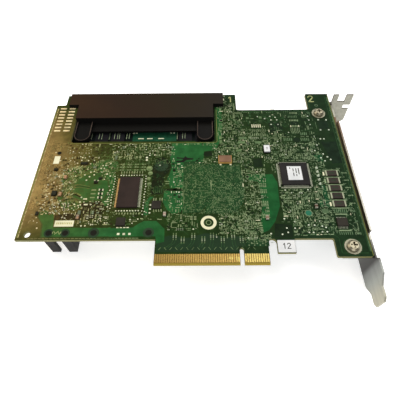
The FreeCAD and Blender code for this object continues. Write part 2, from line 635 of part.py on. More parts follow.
def make_small_solder_parts():
    x = "( 0 - oscillator_x )"
    group("oscillator", [block_about(x, "oscillator_y", "oscillator_width", "oscillator_depth", 0,
                                     "oscillator_high")])
    group("oscillator_lid", [block_about(x, "oscillator_y", "oscillator_width - 2 * lid_inset",
                                         "oscillator_depth - 2 * lid_inset", "oscillator_high",
                                         "oscillator_high + lid_thick")])
    group("switch_base", [block_about("switch_x", "switch_y", "switch_width", "switch_depth", 0,
                                      "switch_base_high")])
    group("backup_switch", [block_about("switch_x", "switch_y",
                                        "switch_width - 2 * switch_cap_inset",
                                        "switch_depth - 2 * switch_cap_inset", "switch_base_high",
                                        "switch_base_high + switch_cap_high")])
    group("flat_packages", [block_about(x, y, "flat_pack_size", "flat_pack_size", 0,
                                        "flat_pack_high") for x, y in FLAT_SPOTS])
    resistors = [chip_parts("sense_x", "( sense_low_y + %d * sense_pitch )" % index, "sense_width",
                            "sense_depth", "sense_high", "sense_end", True)
                 for index in range(int(value("sense_count")))]
    group("sense_resistors", [body for body, _ in resistors])
    group("sense_resistor_ends", [end for _, ends in resistors for end in ends])
    capacitors = [chip_parts(x, y, "chip_cap_length", "chip_cap_width", "chip_cap_high",
                             "chip_cap_end", False) for x, y in CAPACITOR_SPOTS]
    group("chip_capacitors", [body for body, _ in capacitors])
    group("chip_capacitor_ends", [end for _, ends in capacitors for end in ends])
    group("hook_label", [block("hook_left + label_inset", "hook_right - label_inset",
                               "hook_bottom + label_inset", "hook_bottom + label_high", 0,
                               "label_thick")])


def make_header():
    """Upright pins through the board in a plastic strip on the component side."""
    base = []
    pins = []
    for x, y in header_places():
        strip = block_about(x, y, "header_side", "pin_pitch", UNDERSIDE + " - header_high",
                            UNDERSIDE)
        base.append(strip)
        pins.append(block_about(x, y, "pin_side", "pin_side", UNDERSIDE + " - pin_reach",
                                "pin_over"))
    strip = base[0].fuse(base[1:]).removeSplitter()
    for pin in pins:
        strip = strip.cut(pin)
    group("header_strip", [strip])
    group("header_pins", pins)


def make_clip():
    """Moulded clip under the lower left edge: two prongs reach the surface below."""
    body = new_body("edge_clip")
    total = "2 * clip_prong_width + clip_gap"
    left, right = "0 - clip_left", "0 - clip_left + " + total
    base = new_sketch(body, "XY_Plane", UNDERSIDE + " - clip_base")
    draw_loop(base, rectangle(left, right, "clip_low", "clip_low + clip_depth"))
    solid(body, "Pad", base, "clip_base")
    prongs = new_sketch(body, "XY_Plane", REST)
    draw_loop(prongs, rectangle(left, left + " + clip_prong_width", "clip_low",
                                "clip_low + clip_wall"))
    draw_loop(prongs, rectangle(right + " - clip_prong_width", right, "clip_low",
                                "clip_low + clip_wall"))
    draw_loop(prongs, rectangle(right + " - clip_wall", right, "clip_low + clip_wall",
                                "clip_low + clip_depth"))
    solid(body, "Pad", prongs, "0 - %s - board_thick - clip_base / 2" % REST)
    pegs = new_sketch(body, "XY_Plane", UNDERSIDE + " - clip_base / 2")
    for x, y in clip_pegs():
        draw_circle(pegs, x, y, "clip_peg_dia")
    solid(body, "Pad", pegs, "board_thick + clip_base / 2 - clip_peg_below")


# ---------------------------------------------------------------- component side

def make_processor():
    size = "processor_size"
    processor_top = UNDERSIDE + " - processor_high"
    x = "( 0 - processor_x )"
    group("processor", [block_about(x, "processor_y", size, size, processor_top, UNDERSIDE)])
    group("thermal_pad", [block_about(x, "processor_y", "pad_size", "pad_size",
                                      processor_top + " - pad_thick", processor_top)])
    body = new_body("heatsink")
    low = processor_top + " - pad_thick - sink_high"
    sketch = new_sketch(body, "XY_Plane", low)
    left = "0 - processor_x - sink_width / 2"
    draw_loop(sketch, rectangle(left, left + " + sink_width", "processor_y - sink_depth / 2",
                                "processor_y + sink_depth / 2"))
    solid(body, "Pad", sketch, "sink_high")
    pitch = "( sink_width + fin_gap ) / fin_count"
    fin = "( ( sink_width + fin_gap ) / fin_count - fin_gap )"
    gap = new_sketch(body, "XZ_Plane", "0 - processor_y - sink_depth / 2")
    draw_loop(gap, rectangle(left + " + " + fin, left + " + " + fin + " + fin_gap", low,
                             low + " + sink_high - sink_base"))
    cut = solid(body, "Pocket", gap, "sink_depth", backwards=True)
    fins = body.newObject("PartDesign::LinearPattern", "fins")
    fins.Originals = [cut]
    fins.Direction = (gap, ["H_Axis"])
    fins.Mode = "Spacing"
    fins.setExpression("Offset", named(pitch))
    fins.setExpression("Occurrences", named("fin_count - 1"))
    body.Tip = fins


def make_ports():
    """Two shielded cable ports side by side, their mouths at the notch."""
    middle = "( notch_left + notch_right ) / 2"
    front = "notch_floor + port_over"
    for number, side in (("1", -1), ("2", 1)):
        centre = "%s + %d * port_pitch / 2" % (middle, side)
        left, right = centre + " - port_width / 2", centre + " + port_width / 2"
        cage = new_body("port_cage_" + number)
        outer = new_sketch(cage, "XZ_Plane", "0 - ( %s )" % front)
        draw_loop(outer, rectangle(left, right, UNDERSIDE + " - port_high", UNDERSIDE))
        solid(cage, "Pad", outer, "port_depth")
        collar = new_sketch(cage, "XZ_Plane", "0 - ( %s )" % front)
        draw_loop(collar, rectangle(left + " - collar_out", right + " + collar_out",
                                    UNDERSIDE + " - port_high - collar_out",
                                    UNDERSIDE + " + collar_out"))
        solid(cage, "Pad", collar, "collar_deep")
        inner = new_sketch(cage, "XZ_Plane", "0 - ( %s )" % front)
        draw_loop(inner, rectangle(left + " + port_wall", right + " - port_wall",
                                   UNDERSIDE + " - port_high + port_wall",
                                   UNDERSIDE + " - port_wall"))
        solid(cage, "Pocket", inner, "port_depth - port_wall", backwards=True)
        # Latch windows through the side away from the board.
        windows = new_sketch(cage, "XY_Plane", UNDERSIDE + " - port_high")
        for step in (-1, 0, 1):
            middle_x = centre + " + %d * window_pitch" % step
            draw_loop(windows, rectangle(middle_x + " - window_width / 2",
                                         middle_x + " + window_width / 2",
                                         front + " - window_back - window_deep",
                                         front + " - window_back"))
        solid(cage, "Pocket", windows, "port_wall", backwards=True)


def make_port_inserts():
    """Moulded core at the back of each cage, with the contact blade towards the mouth."""
    middle = "( notch_left + notch_right ) / 2"
    back = "( notch_floor + port_over - port_depth + port_wall )"
    inserts = []
    for side in (-1, 1):
        centre = "%s + %d * port_pitch / 2" % (middle, side)
        half = "( port_width / 2 - port_wall )"
        low, high = UNDERSIDE + " - port_high + port_wall", UNDERSIDE + " - port_wall"
        core = block("%s - %s" % (centre, half), "%s + %s" % (centre, half), back,
                     back + " + port_core", low, high)
        blade_top = high + " - port_blade_drop"
        blade = block("%s - %s + port_blade_inset" % (centre, half),
                      "%s + %s - port_blade_inset" % (centre, half), back + " + port_core",
                      "notch_floor + port_over - port_blade_inset",
                      blade_top + " - port_blade", blade_top)
        inserts.append(core.fuse(blade))
    group("port_inserts", inserts)


def make_chokes():
    """Shielded power chokes with clipped corners."""
    chokes = []
    half, cut = value("choke_size") / 2, value("choke_cut")
    for x, y in CHOKE_SPOTS:
        corners = []
        for turn in range(4):
            for across, up in ((half, half - cut), (half - cut, half)):
                angle = math.radians(90 * turn)
                corners.append(FreeCAD.Vector(x + across * math.cos(angle) - up * math.sin(angle),
                                              y + across * math.sin(angle) + up * math.cos(angle),
                                              value(UNDERSIDE)))
        face = Part.Face(Part.makePolygon(corners + corners[:1]))
        chokes.append(face.extrude(FreeCAD.Vector(0, 0, -value("choke_high"))))
    group("power_chokes", chokes)


def make_cans():
    """Aluminium capacitors, each crimped at the foot, on square plastic bases."""
    cans, bases = [], []
    radius, waist, crimp = value("can_dia") / 2, value("can_waist"), value("can_crimp")
    high = value("can_high - can_base_high")
    profile = [(0, 0), (radius - waist, 0), (radius - waist, -crimp), (radius, -crimp),
               (radius, -high), (0, -high)]
    for x, y in CAN_SPOTS:
        cans.append(turned(profile, FreeCAD.Vector(x, y, value(UNDERSIDE + " - can_base_high"))))
        bases.append(block_about(x, y, "can_base", "can_base", UNDERSIDE + " - can_base_high",
                                 UNDERSIDE))
    group("capacitor_cans", cans)
    group("capacitor_bases", bases)


def flipped(shapes):
    """Turn pieces drawn on the solder face over onto the component face."""
    copies = []
    for shape in shapes:
        copy = shape.copy()
        copy.rotate(FreeCAD.Vector(0, 0, 0), FreeCAD.Vector(1, 0, 0), 180)
        copy.translate(FreeCAD.Vector(0, 0, value(UNDERSIDE)))
        copies.append(copy)
    return copies


def make_mosfets():
    """Power transistors of the converter, in eight-lead packages."""
    bodies, leads = [], []
    lead = gull_wing("mosfet_lead_reach", "mosfet_high / 2", "mosfet_lead_width")
    for x, y in MOSFET_SPOTS:
        bodies.append(block_about(x, -y, "mosfet_length", "mosfet_width", "mosfet_standoff",
                                  "mosfet_high"))
        for angle in (0, 180):
            leads += lead_row(lead, int(value("mosfet_leads_a_side")), value("mosfet_pitch"), x, -y,
                              angle, value("mosfet_width") / 2)
    group("power_transistors", flipped(bodies))
    group("power_transistor_leads", flipped(leads))


def make_battery_plug():
    """Upright header for the backup battery's lead, held by two pegs through the ringed holes."""
    left = "( 0 - ring_hole_left - plug_over )"
    right = "( 0 - ring_hole_right + plug_over )"
    front = "( ring_hole_y - plug_front )"
    low = UNDERSIDE + " - plug_high"
    shell = block(left, right, front, front + " + plug_depth", low, UNDERSIDE)
    mouth = block(left + " + plug_wall", right + " - plug_wall", front + " + plug_wall",
                  front + " + plug_depth - plug_wall", low, UNDERSIDE + " - plug_wall")
    shell = shell.cut(mouth)
    for x, bore in (("ring_hole_left", "ring_hole_left_dia"),
                    ("ring_hole_right", "ring_hole_right_dia")):
        foot = FreeCAD.Vector(-value(x), value("ring_hole_y"), value(UNDERSIDE + " - plug_wall"))
        shell = shell.fuse(Part.makeCylinder((value(bore) - value("peg_clear")) / 2,
                                             value("plug_wall + board_thick - peg_below"), foot))
    group("battery_plug", [shell.removeSplitter()])
    pins = []
    middle = "( 0 - ( ring_hole_left + ring_hole_right ) / 2 )"
    for index in range(int(value("plug_pins"))):
        place_x = "%s + ( %d - ( plug_pins - 1 ) / 2 ) * plug_pin_pitch" % (middle, index)
        pins.append(block_about(place_x, front + " + plug_depth / 2", "pin_side", "pin_side",
                                low + " + plug_wall", UNDERSIDE + " - plug_wall"))
    group("battery_plug_pins", pins)


def make_buzzer():
    """The alarm's square case with its sound hole."""
    low = UNDERSIDE + " - buzzer_high"
    case = block_about("buzzer_x", "buzzer_y", "buzzer_size", "buzzer_size", low, UNDERSIDE)
    mouth = FreeCAD.Vector(value("buzzer_x"), value("buzzer_y"), value(low))
    bore = Part.makeCylinder(value("buzzer_bore") / 2, value("buzzer_bore_deep"), mouth)
    group("alarm_buzzer", [case.cut(bore)])


make_board()
make_edge_contacts()
make_bracket()
make_screws()
make_memory()
make_socket()
make_handle()
make_packages()
make_small_solder_parts()
make_header()
make_clip()
make_processor()
make_ports()
make_port_inserts()
make_chokes()
make_cans()
make_mosfets()
make_battery_plug()
make_buzzer()
doc.recompute()

broken = [item.Name for item in doc.Objects if {"Invalid", "Error"} & set(item.State)]
if broken:
    raise RuntimeError("failed features: " + ", ".join(broken))
for piece in subparts:
    if piece.Shape.isNull() or not piece.Shape.isValid():
        raise RuntimeError("bad shape: " + piece.Label)
os.makedirs("parts", exist_ok=True)
for piece in subparts:
    piece.Shape.exportStep("parts/%s.step" % piece.Label)
    box = piece.Shape.BoundBox
    print("%-20s solids %3d volume %9.1f  X %7.2f %7.2f  Y %7.2f %7.2f  Z %6.2f %6.2f" % (
        piece.Label, len(piece.Shape.Solids), piece.Shape.Volume, box.XMin, box.XMax,
        box.YMin, box.YMax, box.ZMin, box.ZMax))
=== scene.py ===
"""Looks of the storage controller card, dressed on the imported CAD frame."""
import math
import random

import bpy
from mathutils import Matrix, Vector


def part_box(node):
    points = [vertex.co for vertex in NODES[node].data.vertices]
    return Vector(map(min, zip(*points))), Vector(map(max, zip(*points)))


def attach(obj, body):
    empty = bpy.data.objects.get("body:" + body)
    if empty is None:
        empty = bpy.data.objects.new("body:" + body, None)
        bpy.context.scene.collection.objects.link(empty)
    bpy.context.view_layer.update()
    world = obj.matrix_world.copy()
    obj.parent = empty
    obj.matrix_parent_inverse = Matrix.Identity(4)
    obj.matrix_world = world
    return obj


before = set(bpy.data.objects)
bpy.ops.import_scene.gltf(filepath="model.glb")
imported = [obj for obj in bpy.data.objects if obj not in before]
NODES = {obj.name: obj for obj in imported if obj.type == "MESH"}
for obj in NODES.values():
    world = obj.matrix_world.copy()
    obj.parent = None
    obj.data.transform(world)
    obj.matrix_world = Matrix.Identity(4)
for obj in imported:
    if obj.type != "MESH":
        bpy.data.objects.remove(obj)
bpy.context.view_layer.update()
MM = 0.001

# ------------------------------------------------------------------ datums
# The card's own datum system, in millimetres: X from the key notch towards the bracket, Y up from
# the connector's edge, Z from the solder face. Everything on the card is placed in it.
BOARD_LOW, BOARD_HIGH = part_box("circuit_board")
CONTACT_LOW, CONTACT_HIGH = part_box("edge_contacts")
KEY_TO_LAST_CONTACT = 11.85
DATUM = Vector((CONTACT_HIGH.x - KEY_TO_LAST_CONTACT * MM, BOARD_LOW.y, BOARD_HIGH.z))


def at(x, y, z=0.0):
    return (DATUM.x + x * MM, DATUM.y + y * MM, DATUM.z + z * MM)


def span(node):
    """A node's box in the card's millimetres: left, right, low, high, bottom, top."""
    low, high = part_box(node)
    low, high = (low - DATUM) / MM, (high - DATUM) / MM
    return low.x, high.x, low.y, high.y, low.z, high.z


LEFT, RIGHT, _, _, UNDER, _ = span("circuit_board")


# ------------------------------------------------------------------ materials

# Most of a noise lies in this band, so colours and bumps are spread over it.
NOISE_LOW, NOISE_HIGH = 0.3, 0.7
OPAQUE = 1.0
TOOTH = 0.02 * MM


class Shade:
    """A node material that is put together one node at a time."""

    def __init__(self, name, **sockets):
        self.material = bpy.data.materials.new(name)
        self.material.use_nodes = True
        self.tree = self.material.node_tree
        self.shader = self.tree.nodes["Principled BSDF"]
        for key, number in sockets.items():
            self.shader.inputs[key.replace("_", " ")].default_value = number

    def node(self, kind, **settings):
        made = self.tree.nodes.new("ShaderNode" + kind)
        for key, setting in settings.items():
            if hasattr(made, key):
                setattr(made, key, setting)
            else:
                made.inputs[key.replace("_", " ")].default_value = setting
        return made

    def link(self, source, target):
        self.tree.links.new(source, target)

    def feed(self, socket, thing):
        """A number, a colour or another node's output goes into the socket."""
        if isinstance(thing, (int, float)):
            socket.default_value = thing
        elif isinstance(thing, tuple):
            socket.default_value = (*thing, OPAQUE)
        else:
            self.link(thing, socket)

    def coords(self):
        return self.node("TexCoord").outputs["Object"]

    def part_of(self, source, name):
        split = self.node("SeparateXYZ")
        self.link(source, split.inputs[0])
        return split.outputs[name]

    def axis(self, name):
        """One object coordinate, in metres."""
        return self.part_of(self.coords(), name)

    def facing(self, name):
        """One part of the surface's own direction in the object's frame."""
        return self.part_of(self.node("NewGeometry").outputs["True Normal"], name)

    def noise(self, scale, detail=4.0, roughness=0.55, stretch=None):
        made = self.node("TexNoise", Scale=scale, Detail=detail, Roughness=roughness)
        source = self.coords()
        if stretch:
            mapping = self.node("Mapping", Scale=stretch)
            self.link(source, mapping.inputs["Vector"])
            source = mapping.outputs[0]
        self.link(source, made.inputs["Vector"])
        return made.outputs["Fac"]

    def spread(self, source, low, high, out_low=0.0, out_high=1.0):
        made = self.node("MapRange", clamp=True)
        for socket, thing in zip(made.inputs, (source, low, high, out_low, out_high)):
            self.feed(socket, thing)
        return made.outputs[0]

    def swing(self, noise, out_low, out_high):
        return self.spread(noise, NOISE_LOW, NOISE_HIGH, out_low, out_high)

    def along_board(self):
        """0 at the board's far end and 1 at the bracket."""
        return self.spread(self.axis("X"), BOARD_LOW.x, BOARD_HIGH.x)

    def ramp(self, source, stops):
        """Stops are rows of place, red, green, blue."""
        made = self.node("ValToRGB")
        band = made.color_ramp
        while len(band.elements) < len(stops):
            band.elements.new(0.5)
        for element, (place, *colour) in zip(band.elements, stops):
            element.position = place
            element.color = (*colour, OPAQUE)
        self.link(source, made.inputs[0])
        return made.outputs[0]

    def blend(self, noise, dark, light):
        return self.ramp(noise, [(NOISE_LOW, *dark), (NOISE_HIGH, *light)])

    def mix(self, share, first, second, blend="MIX"):
        made = self.node("Mix", data_type="RGBA", blend_type=blend)
        for socket, thing in zip((made.inputs[0], made.inputs[6], made.inputs[7]),
                                 (share, first, second)):
            self.feed(socket, thing)
        return made.outputs[2]

    def clouded(self, tint, cloud):
        """The tint made darker and lighter by a grey cloud."""
        grey = self.node("CombineColor")
        for socket in grey.inputs:
            self.link(cloud, socket)
        return self.mix(1.0, tint, grey.outputs[0], "MULTIPLY")

    def maths(self, operation, first, second=0.0):
        made = self.node("Math", operation=operation)
        for socket, thing in zip(made.inputs, (first, second)):
            self.feed(socket, thing)
        return made.outputs[0]

    def plus(self, first, second):
        return self.maths("ADD", first, second)

    def times(self, product, *factors):
        for factor in factors:
            product = self.maths("MULTIPLY", product, factor)
        return product

    def over(self, source, limit):
        return self.maths("GREATER_THAN", source, limit)

    def under(self, source, limit):
        return self.maths("LESS_THAN", source, limit)

    def colour(self, source):
        self.link(source, self.shader.inputs["Base Color"])

    def present_colour(self):
        return self.shader.inputs["Base Color"].links[0].from_socket

    def rough(self, source):
        self.link(source, self.shader.inputs["Roughness"])

    def bump(self, source, strength, distance):
        made = self.node("Bump", Strength=strength, Distance=distance)
        self.link(source, made.inputs["Height"])
        self.link(made.outputs[0], self.shader.inputs["Normal"])


# Colours along the card, in rows of place, red, green, blue: 0 is the far end, 1 the bracket.
# The mask is olive brown where it is thin over bare laminate at the far end and a deep bottle
# green towards the bracket.
MASK_STOPS = [(0, 0.36, 0.24, 0.086), (0.05, 0.255, 0.172, 0.058), (0.12, 0.12, 0.098, 0.025),
              (0.2, 0.048, 0.058, 0.013), (0.28, 0.033, 0.048, 0.011), (0.5, 0.018, 0.044, 0.009),
              (0.8, 0.014, 0.034, 0.008), (1, 0.012, 0.033, 0.012)]
POUR_STOPS = [(0, 0.09, 0.12, 0.026), (0.1, 0.062, 0.125, 0.028), (0.22, 0.04, 0.125, 0.03),
              (0.35, 0.026, 0.12, 0.034), (0.6, 0.018, 0.106, 0.026), (0.85, 0.01, 0.09, 0.024),
              (1, 0.01, 0.06, 0.026)]
PATCH_STOPS = [(0, 0.12, 0.11, 0.03), (0.2, 0.052, 0.085, 0.022), (0.45, 0.018, 0.062, 0.018),
               (1, 0.014, 0.048, 0.018)]

# Print, thin copper, solder and end caps follow the mask: material name, roughness, stops.
LENGTHWISE = {
    "print": ("print_olive", 0.6, [(0, 0.6, 0.48, 0.22), (0.15, 0.46, 0.43, 0.2),
              (0.3, 0.34, 0.38, 0.19), (0.45, 0.27, 0.33, 0.17), (0.6, 0.25, 0.32, 0.165),
              (1, 0.23, 0.32, 0.18)]),
    "trace": ("trace_under_mask", 0.45, [(0, 0.4, 0.27, 0.09), (0.1, 0.19, 0.16, 0.05),
              (0.22, 0.08, 0.13, 0.035), (0.45, 0.035, 0.105, 0.032), (1, 0.022, 0.062, 0.022)]),
    "via": ("via_under_mask", 0.45, [(0, 0.4, 0.3, 0.13), (0.25, 0.2, 0.26, 0.11),
            (0.6, 0.125, 0.2, 0.085), (1, 0.11, 0.19, 0.1)]),
    # gaps in the copper, and also the painted shadows round parts
    "gap": ("gap_in_copper", 0.45, [(0, 0.11, 0.07, 0.022), (0.12, 0.04, 0.03, 0.01),
            (0.4, 0.012, 0.02, 0.007), (0.7, 0.009, 0.02, 0.007), (1, 0.009, 0.023, 0.011)]),
    "tin": ("tin_solder", 0.45, [(0, 0.8, 0.62, 0.34), (0.15, 0.7, 0.66, 0.4),
            (0.35, 0.74, 0.76, 0.54), (1, 0.62, 0.7, 0.56)]),
    "ceramic": ("capacitor_tan", 0.5, [(0, 0.52, 0.26, 0.12), (0.12, 0.5, 0.28, 0.15),
            (0.15, 0.27, 0.22, 0.16), (0.45, 0.36, 0.26, 0.21), (0.75, 0.26, 0.18, 0.12),
            (0.9, 0.08, 0.04, 0.03)]),
    "ceramic_end": ("capacitor_ends", 0.5, [(0, 0.5, 0.28, 0.15), (0.18, 0.46, 0.3, 0.18),
                (0.3, 0.44, 0.42, 0.32), (1, 0.4, 0.4, 0.32)]),
}


def mask_shade(name, stops, rise):
    """Glossy solder mask that follows the copper beneath it."""
    shade = Shade(name, Roughness=0.36, Specular_IOR_Level=0.02)
    waver = shade.swing(shade.noise(22.0, 2.0), -0.04, 0.04)
    # towards the upper and lower edges the tint runs ahead to the bracket's green
    up = shade.spread(shade.axis("Y"), BOARD_LOW.y, BOARD_HIGH.y, -0.5, 0.5)
    square = shade.times(up, up)
    along = shade.plus(shade.along_board(), shade.times(square, square, 6.0))
    tint = shade.ramp(shade.plus(along, waver), stops)
    shade.colour(shade.clouded(tint, shade.spread(shade.noise(260.0, 5.0), 0.35, 0.7, 0.72, 1.18)))
    shade.rough(shade.swing(shade.noise(900.0, 3.0), 0.26, 0.46))
    shade.bump(shade.noise(1500.0, 3.0), 0.25, rise * MM)
    return shade


def lengthwise_material(name, roughness, stops):
    """Print or thin copper whose tint follows the mask's along the card."""
    shade = Shade(name, Roughness=roughness, Specular_IOR_Level=0.03)
    grain = shade.noise(700.0, 3.0)
    tint = shade.ramp(shade.plus(shade.along_board(), shade.swing(grain, -0.08, 0.08)), stops)
    shade.colour(shade.clouded(tint, shade.swing(shade.noise(330.0, 3.0), 0.7, 1.25)))
    shade.bump(grain, 0.2, TOOTH)
    return shade.material


def board_material():
    """Solder mask on both faces and bare glass laminate on the cut edges."""
    shade = mask_shade("board_mask", MASK_STOPS, 0.05)
    faces = shade.present_colour()
    edge = shade.under(shade.maths("ABSOLUTE", shade.facing("Z")), 0.97)
    layers = shade.node("TexWave", wave_type="BANDS", bands_direction="Z", Scale=520.0,
                        Distortion=1.5)
    shade.link(shade.coords(), layers.inputs["Vector"])
    layers = layers.outputs["Fac"]
    laminate = shade.ramp(layers, [(0, 0.17, 0.165, 0.07), (1, 0.26, 0.25, 0.115)])
    # bare laminate between the contacts, and the gilded bevel below them
    y = shade.axis("Y")
    relieved = shade.times(shade.under(y, CONTACT_HIGH.y),
                           shade.under(shade.axis("X"), CONTACT_HIGH.x + 1.0 * MM))
    amber = shade.blend(shade.noise(900.0, 3.0), (0.12, 0.068, 0.018), (0.19, 0.115, 0.028))
    faces = shade.mix(relieved, faces, amber)
    bevel = shade.times(relieved, shade.under(y, CONTACT_LOW.y + 0.4 * MM))
    gilt = shade.ramp(layers, [(0, 0.27, 0.2, 0.035), (1, 0.38, 0.29, 0.055)])
    shade.colour(shade.mix(edge, faces, shade.mix(bevel, laminate, gilt)))
    return shade.material


def streaked_material():
    """Copper that shows through the thin mask in streaks."""
    shade = mask_shade("streaked_copper", POUR_STOPS, 0.04)
    copper = shade.present_colour()
    olive = shade.ramp(shade.along_board(), [(0, 0.12, 0.1, 0.03), (0.12, 0.062, 0.105, 0.024),
                                             (0.35, 0.022, 0.066, 0.016)])
    shade.colour(shade.mix(shade.spread(shade.noise(330.0), 0.44, 0.62), copper, olive))
    return shade.material


def metal_material(name, dark, light, roughness, scale=700.0, metallic=1.0, streak=None):
    """Plated or drawn metal, with fine streaks if it was rolled."""
    shade = Shade(name, Metallic=metallic, Roughness=roughness)
    grain = shade.noise(scale, 5.0, 0.5, streak) if streak else shade.noise(scale)
    shade.colour(shade.blend(grain, dark, light))
    shade.rough(shade.swing(grain, roughness * 0.8, roughness * 1.25))
    shade.bump(grain, 0.12, TOOTH)
    return shade.material


def moulded_material(name, dark, light, roughness, grain_scale=1800.0, bump=0.2):
    """Moulded plastic, epoxy or ceramic with a fine tooth."""
    shade = Shade(name, Roughness=roughness, Specular_IOR_Level=0.06)
    shade.colour(shade.blend(shade.noise(120.0, 3.0), dark, light))
    tooth = shade.noise(grain_scale, 3.0)
    shade.rough(shade.swing(tooth, roughness * 0.85, roughness * 1.2))
    shade.bump(tooth, bump, 0.03 * MM)
    return shade.material


def handle_material():
    """Satin near-black plastic: a painted warm reflection browns the top face towards the far end, and
    painted shade blackens every face below it.
    """
    shade = Shade("handle_satin", Roughness=0.42, Specular_IOR_Level=0.04)
    low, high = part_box("module_handle")
    along = shade.spread(shade.axis("X"), low.x, high.x)
    patch = shade.swing(shade.noise(45.0, 2.0), -0.12, 0.12)
    # painted warm reflection on the top face, brown at the far end and darker towards the bracket
    outer = shade.ramp(shade.plus(along, patch),
                       [(0, 0.04, 0.022, 0.012), (0.35, 0.03, 0.018, 0.012),
                        (0.7, 0.026, 0.019, 0.011), (1, 0.022, 0.018, 0.014)])
    tooth = shade.noise(2400.0, 3.0)
    # painted shade: every face below the top is near black
    inner = shade.blend(tooth, (0.0068, 0.0064, 0.0058), (0.01, 0.0096, 0.0086))
    lit_top_face = shade.times(shade.over(shade.facing("Z"), 0.9),
                         shade.over(shade.axis("Z"), high.z - 0.9 * MM))
    shade.colour(shade.mix(lit_top_face, inner, outer))
    shade.rough(shade.swing(tooth, 0.36, 0.5))
    shade.bump(tooth, 0.15, TOOTH)
    return shade.material


def bracket_material():
    """Rolled zinc-plated sheet, finely streaked, with painted reflection and shade along it: painted
    shade darkest at the tongue's root, and a painted warm reflection inside.
    """
    shade = Shade("bracket_zinc", Metallic=0.6, Roughness=0.4, Specular_IOR_Level=0.2)
    grain = shade.noise(500.0, 5.0, 0.5, (1.0, 0.06, 1.0))
    low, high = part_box("bracket")
    y = shade.axis("Y")
    # painted reflection and shade along the sheet: tan at the tongue's tip, dark at its root by the
    # board, grey above
    zinc_and_painted_sheen = shade.ramp(shade.spread(y, low.y, high.y),
                       [(0, 0.4, 0.385, 0.3), (0.035, 0.38, 0.37, 0.3), (0.085, 0.32, 0.335, 0.31),
                        (0.13, 0.22, 0.23, 0.22), (0.15, 0.055, 0.052, 0.048),
                        (0.19, 0.09, 0.09, 0.08), (0.3, 0.34, 0.34, 0.31), (0.85, 0.36, 0.35, 0.31),
                        (0.9, 0.3, 0.295, 0.245), (1, 0.34, 0.335, 0.28)])
    toned = shade.clouded(zinc_and_painted_sheen, shade.swing(grain, 0.85, 1.15))
    # painted warm reflection on the strip over the board and on its upper edge: brown, darker towards
    # the foot
    painted_warm = shade.times(shade.under(shade.facing("X"), 0.5), shade.over(shade.axis("Z"), BOARD_LOW.z),
                       shade.times(shade.over(y, BOARD_LOW.y + 12 * MM),
                                   shade.under(y, at(0, 91.5)[1])))
    up = shade.spread(y, BOARD_LOW.y, BOARD_HIGH.y)
    painted_strip_reflection = shade.ramp(up, [(0.1, 0.05, 0.038, 0.018), (0.5, 0.08, 0.056, 0.032),
                            (0.8, 0.165, 0.105, 0.064)])
    rim = shade.ramp(up, [(0.15, 0.42, 0.41, 0.36), (0.5, 0.32, 0.3, 0.26),
                          (0.72, 0.13, 0.085, 0.055), (0.9, 0.15, 0.095, 0.06)])
    toned = shade.mix(painted_warm, toned, shade.mix(shade.over(shade.facing("Z"), 0.5), painted_strip_reflection, rim))
    # cut edges of the folded top tab
    cut = shade.times(shade.under(shade.maths("ABSOLUTE", shade.facing("Y")), 0.4),
                      shade.over(y, high.y - 3 * MM))
    shade.colour(shade.mix(cut, toned, (0.1, 0.09, 0.075)))
    shade.rough(shade.swing(grain, 0.28, 0.42))
    shade.bump(grain, 0.12, TOOTH)
    return shade.material


def flash_lead_material():
    """Tin legs: the near row carries a painted warm reflection; the row towards the bracket is grey.
    """
    shade = Shade("flash_leads_tin", Roughness=0.45, Specular_IOR_Level=0.1)
    left, right, *_ = span("flash_leads")
    side = shade.over(shade.axis("X"), at((left + right) / 2, 0)[0])
    grain = shade.noise(900.0, 3.0)
    # painted warm reflection on the near row
    painted_warm = shade.blend(grain, (0.52, 0.3, 0.1), (0.74, 0.47, 0.2))
    grey = shade.blend(grain, (0.34, 0.36, 0.24), (0.56, 0.58, 0.42))
    shade.colour(shade.mix(side, painted_warm, grey))
    return shade.material


def module_material():
    """Teal mask in the middle of the module; outside it a near-black painted shade stands for the
    shadow among its close-set chips.
    """
    shade = Shade("module_mask", Roughness=0.4, Specular_IOR_Level=0.04)
    x = shade.axis("X")
    middle = shade.times(shade.over(x, at(-57.4, 0)[0]), shade.under(x, at(-32.4, 0)[0]))
    grain = shade.noise(500.0)
    teal = shade.blend(grain, (0.008, 0.05, 0.024), (0.014, 0.088, 0.044))
    # painted shade, near black, outside the middle
    dark = shade.blend(grain, (0.004, 0.007, 0.006), (0.008, 0.014, 0.012))
    shade.colour(shade.mix(middle, dark, teal))
    return shade.material


def gold_material():
    """Gold with uneven wear, dull along the long row of contacts; a painted reflection makes it
    brighter past the key notch.
    """
    shade = Shade("finger_gold", Metallic=1.0, Roughness=0.3)
    along = shade.spread(shade.axis("X"), CONTACT_LOW.x, CONTACT_HIGH.x)
    wear = shade.swing(shade.noise(400.0, 3.0), -0.2, 0.2)
    # the brighter stops past the key notch are a painted reflection
    shade.colour(shade.ramp(shade.plus(along, wear),
                            [(0, 0.28, 0.182, 0.05), (0.6, 0.26, 0.172, 0.048),
                             (0.76, 0.27, 0.185, 0.052), (0.8, 0.37, 0.29, 0.085),
                             (1, 0.32, 0.25, 0.08)]))
    shade.rough(shade.swing(shade.noise(1400.0, 3.0), 0.22, 0.42))
    return shade.material


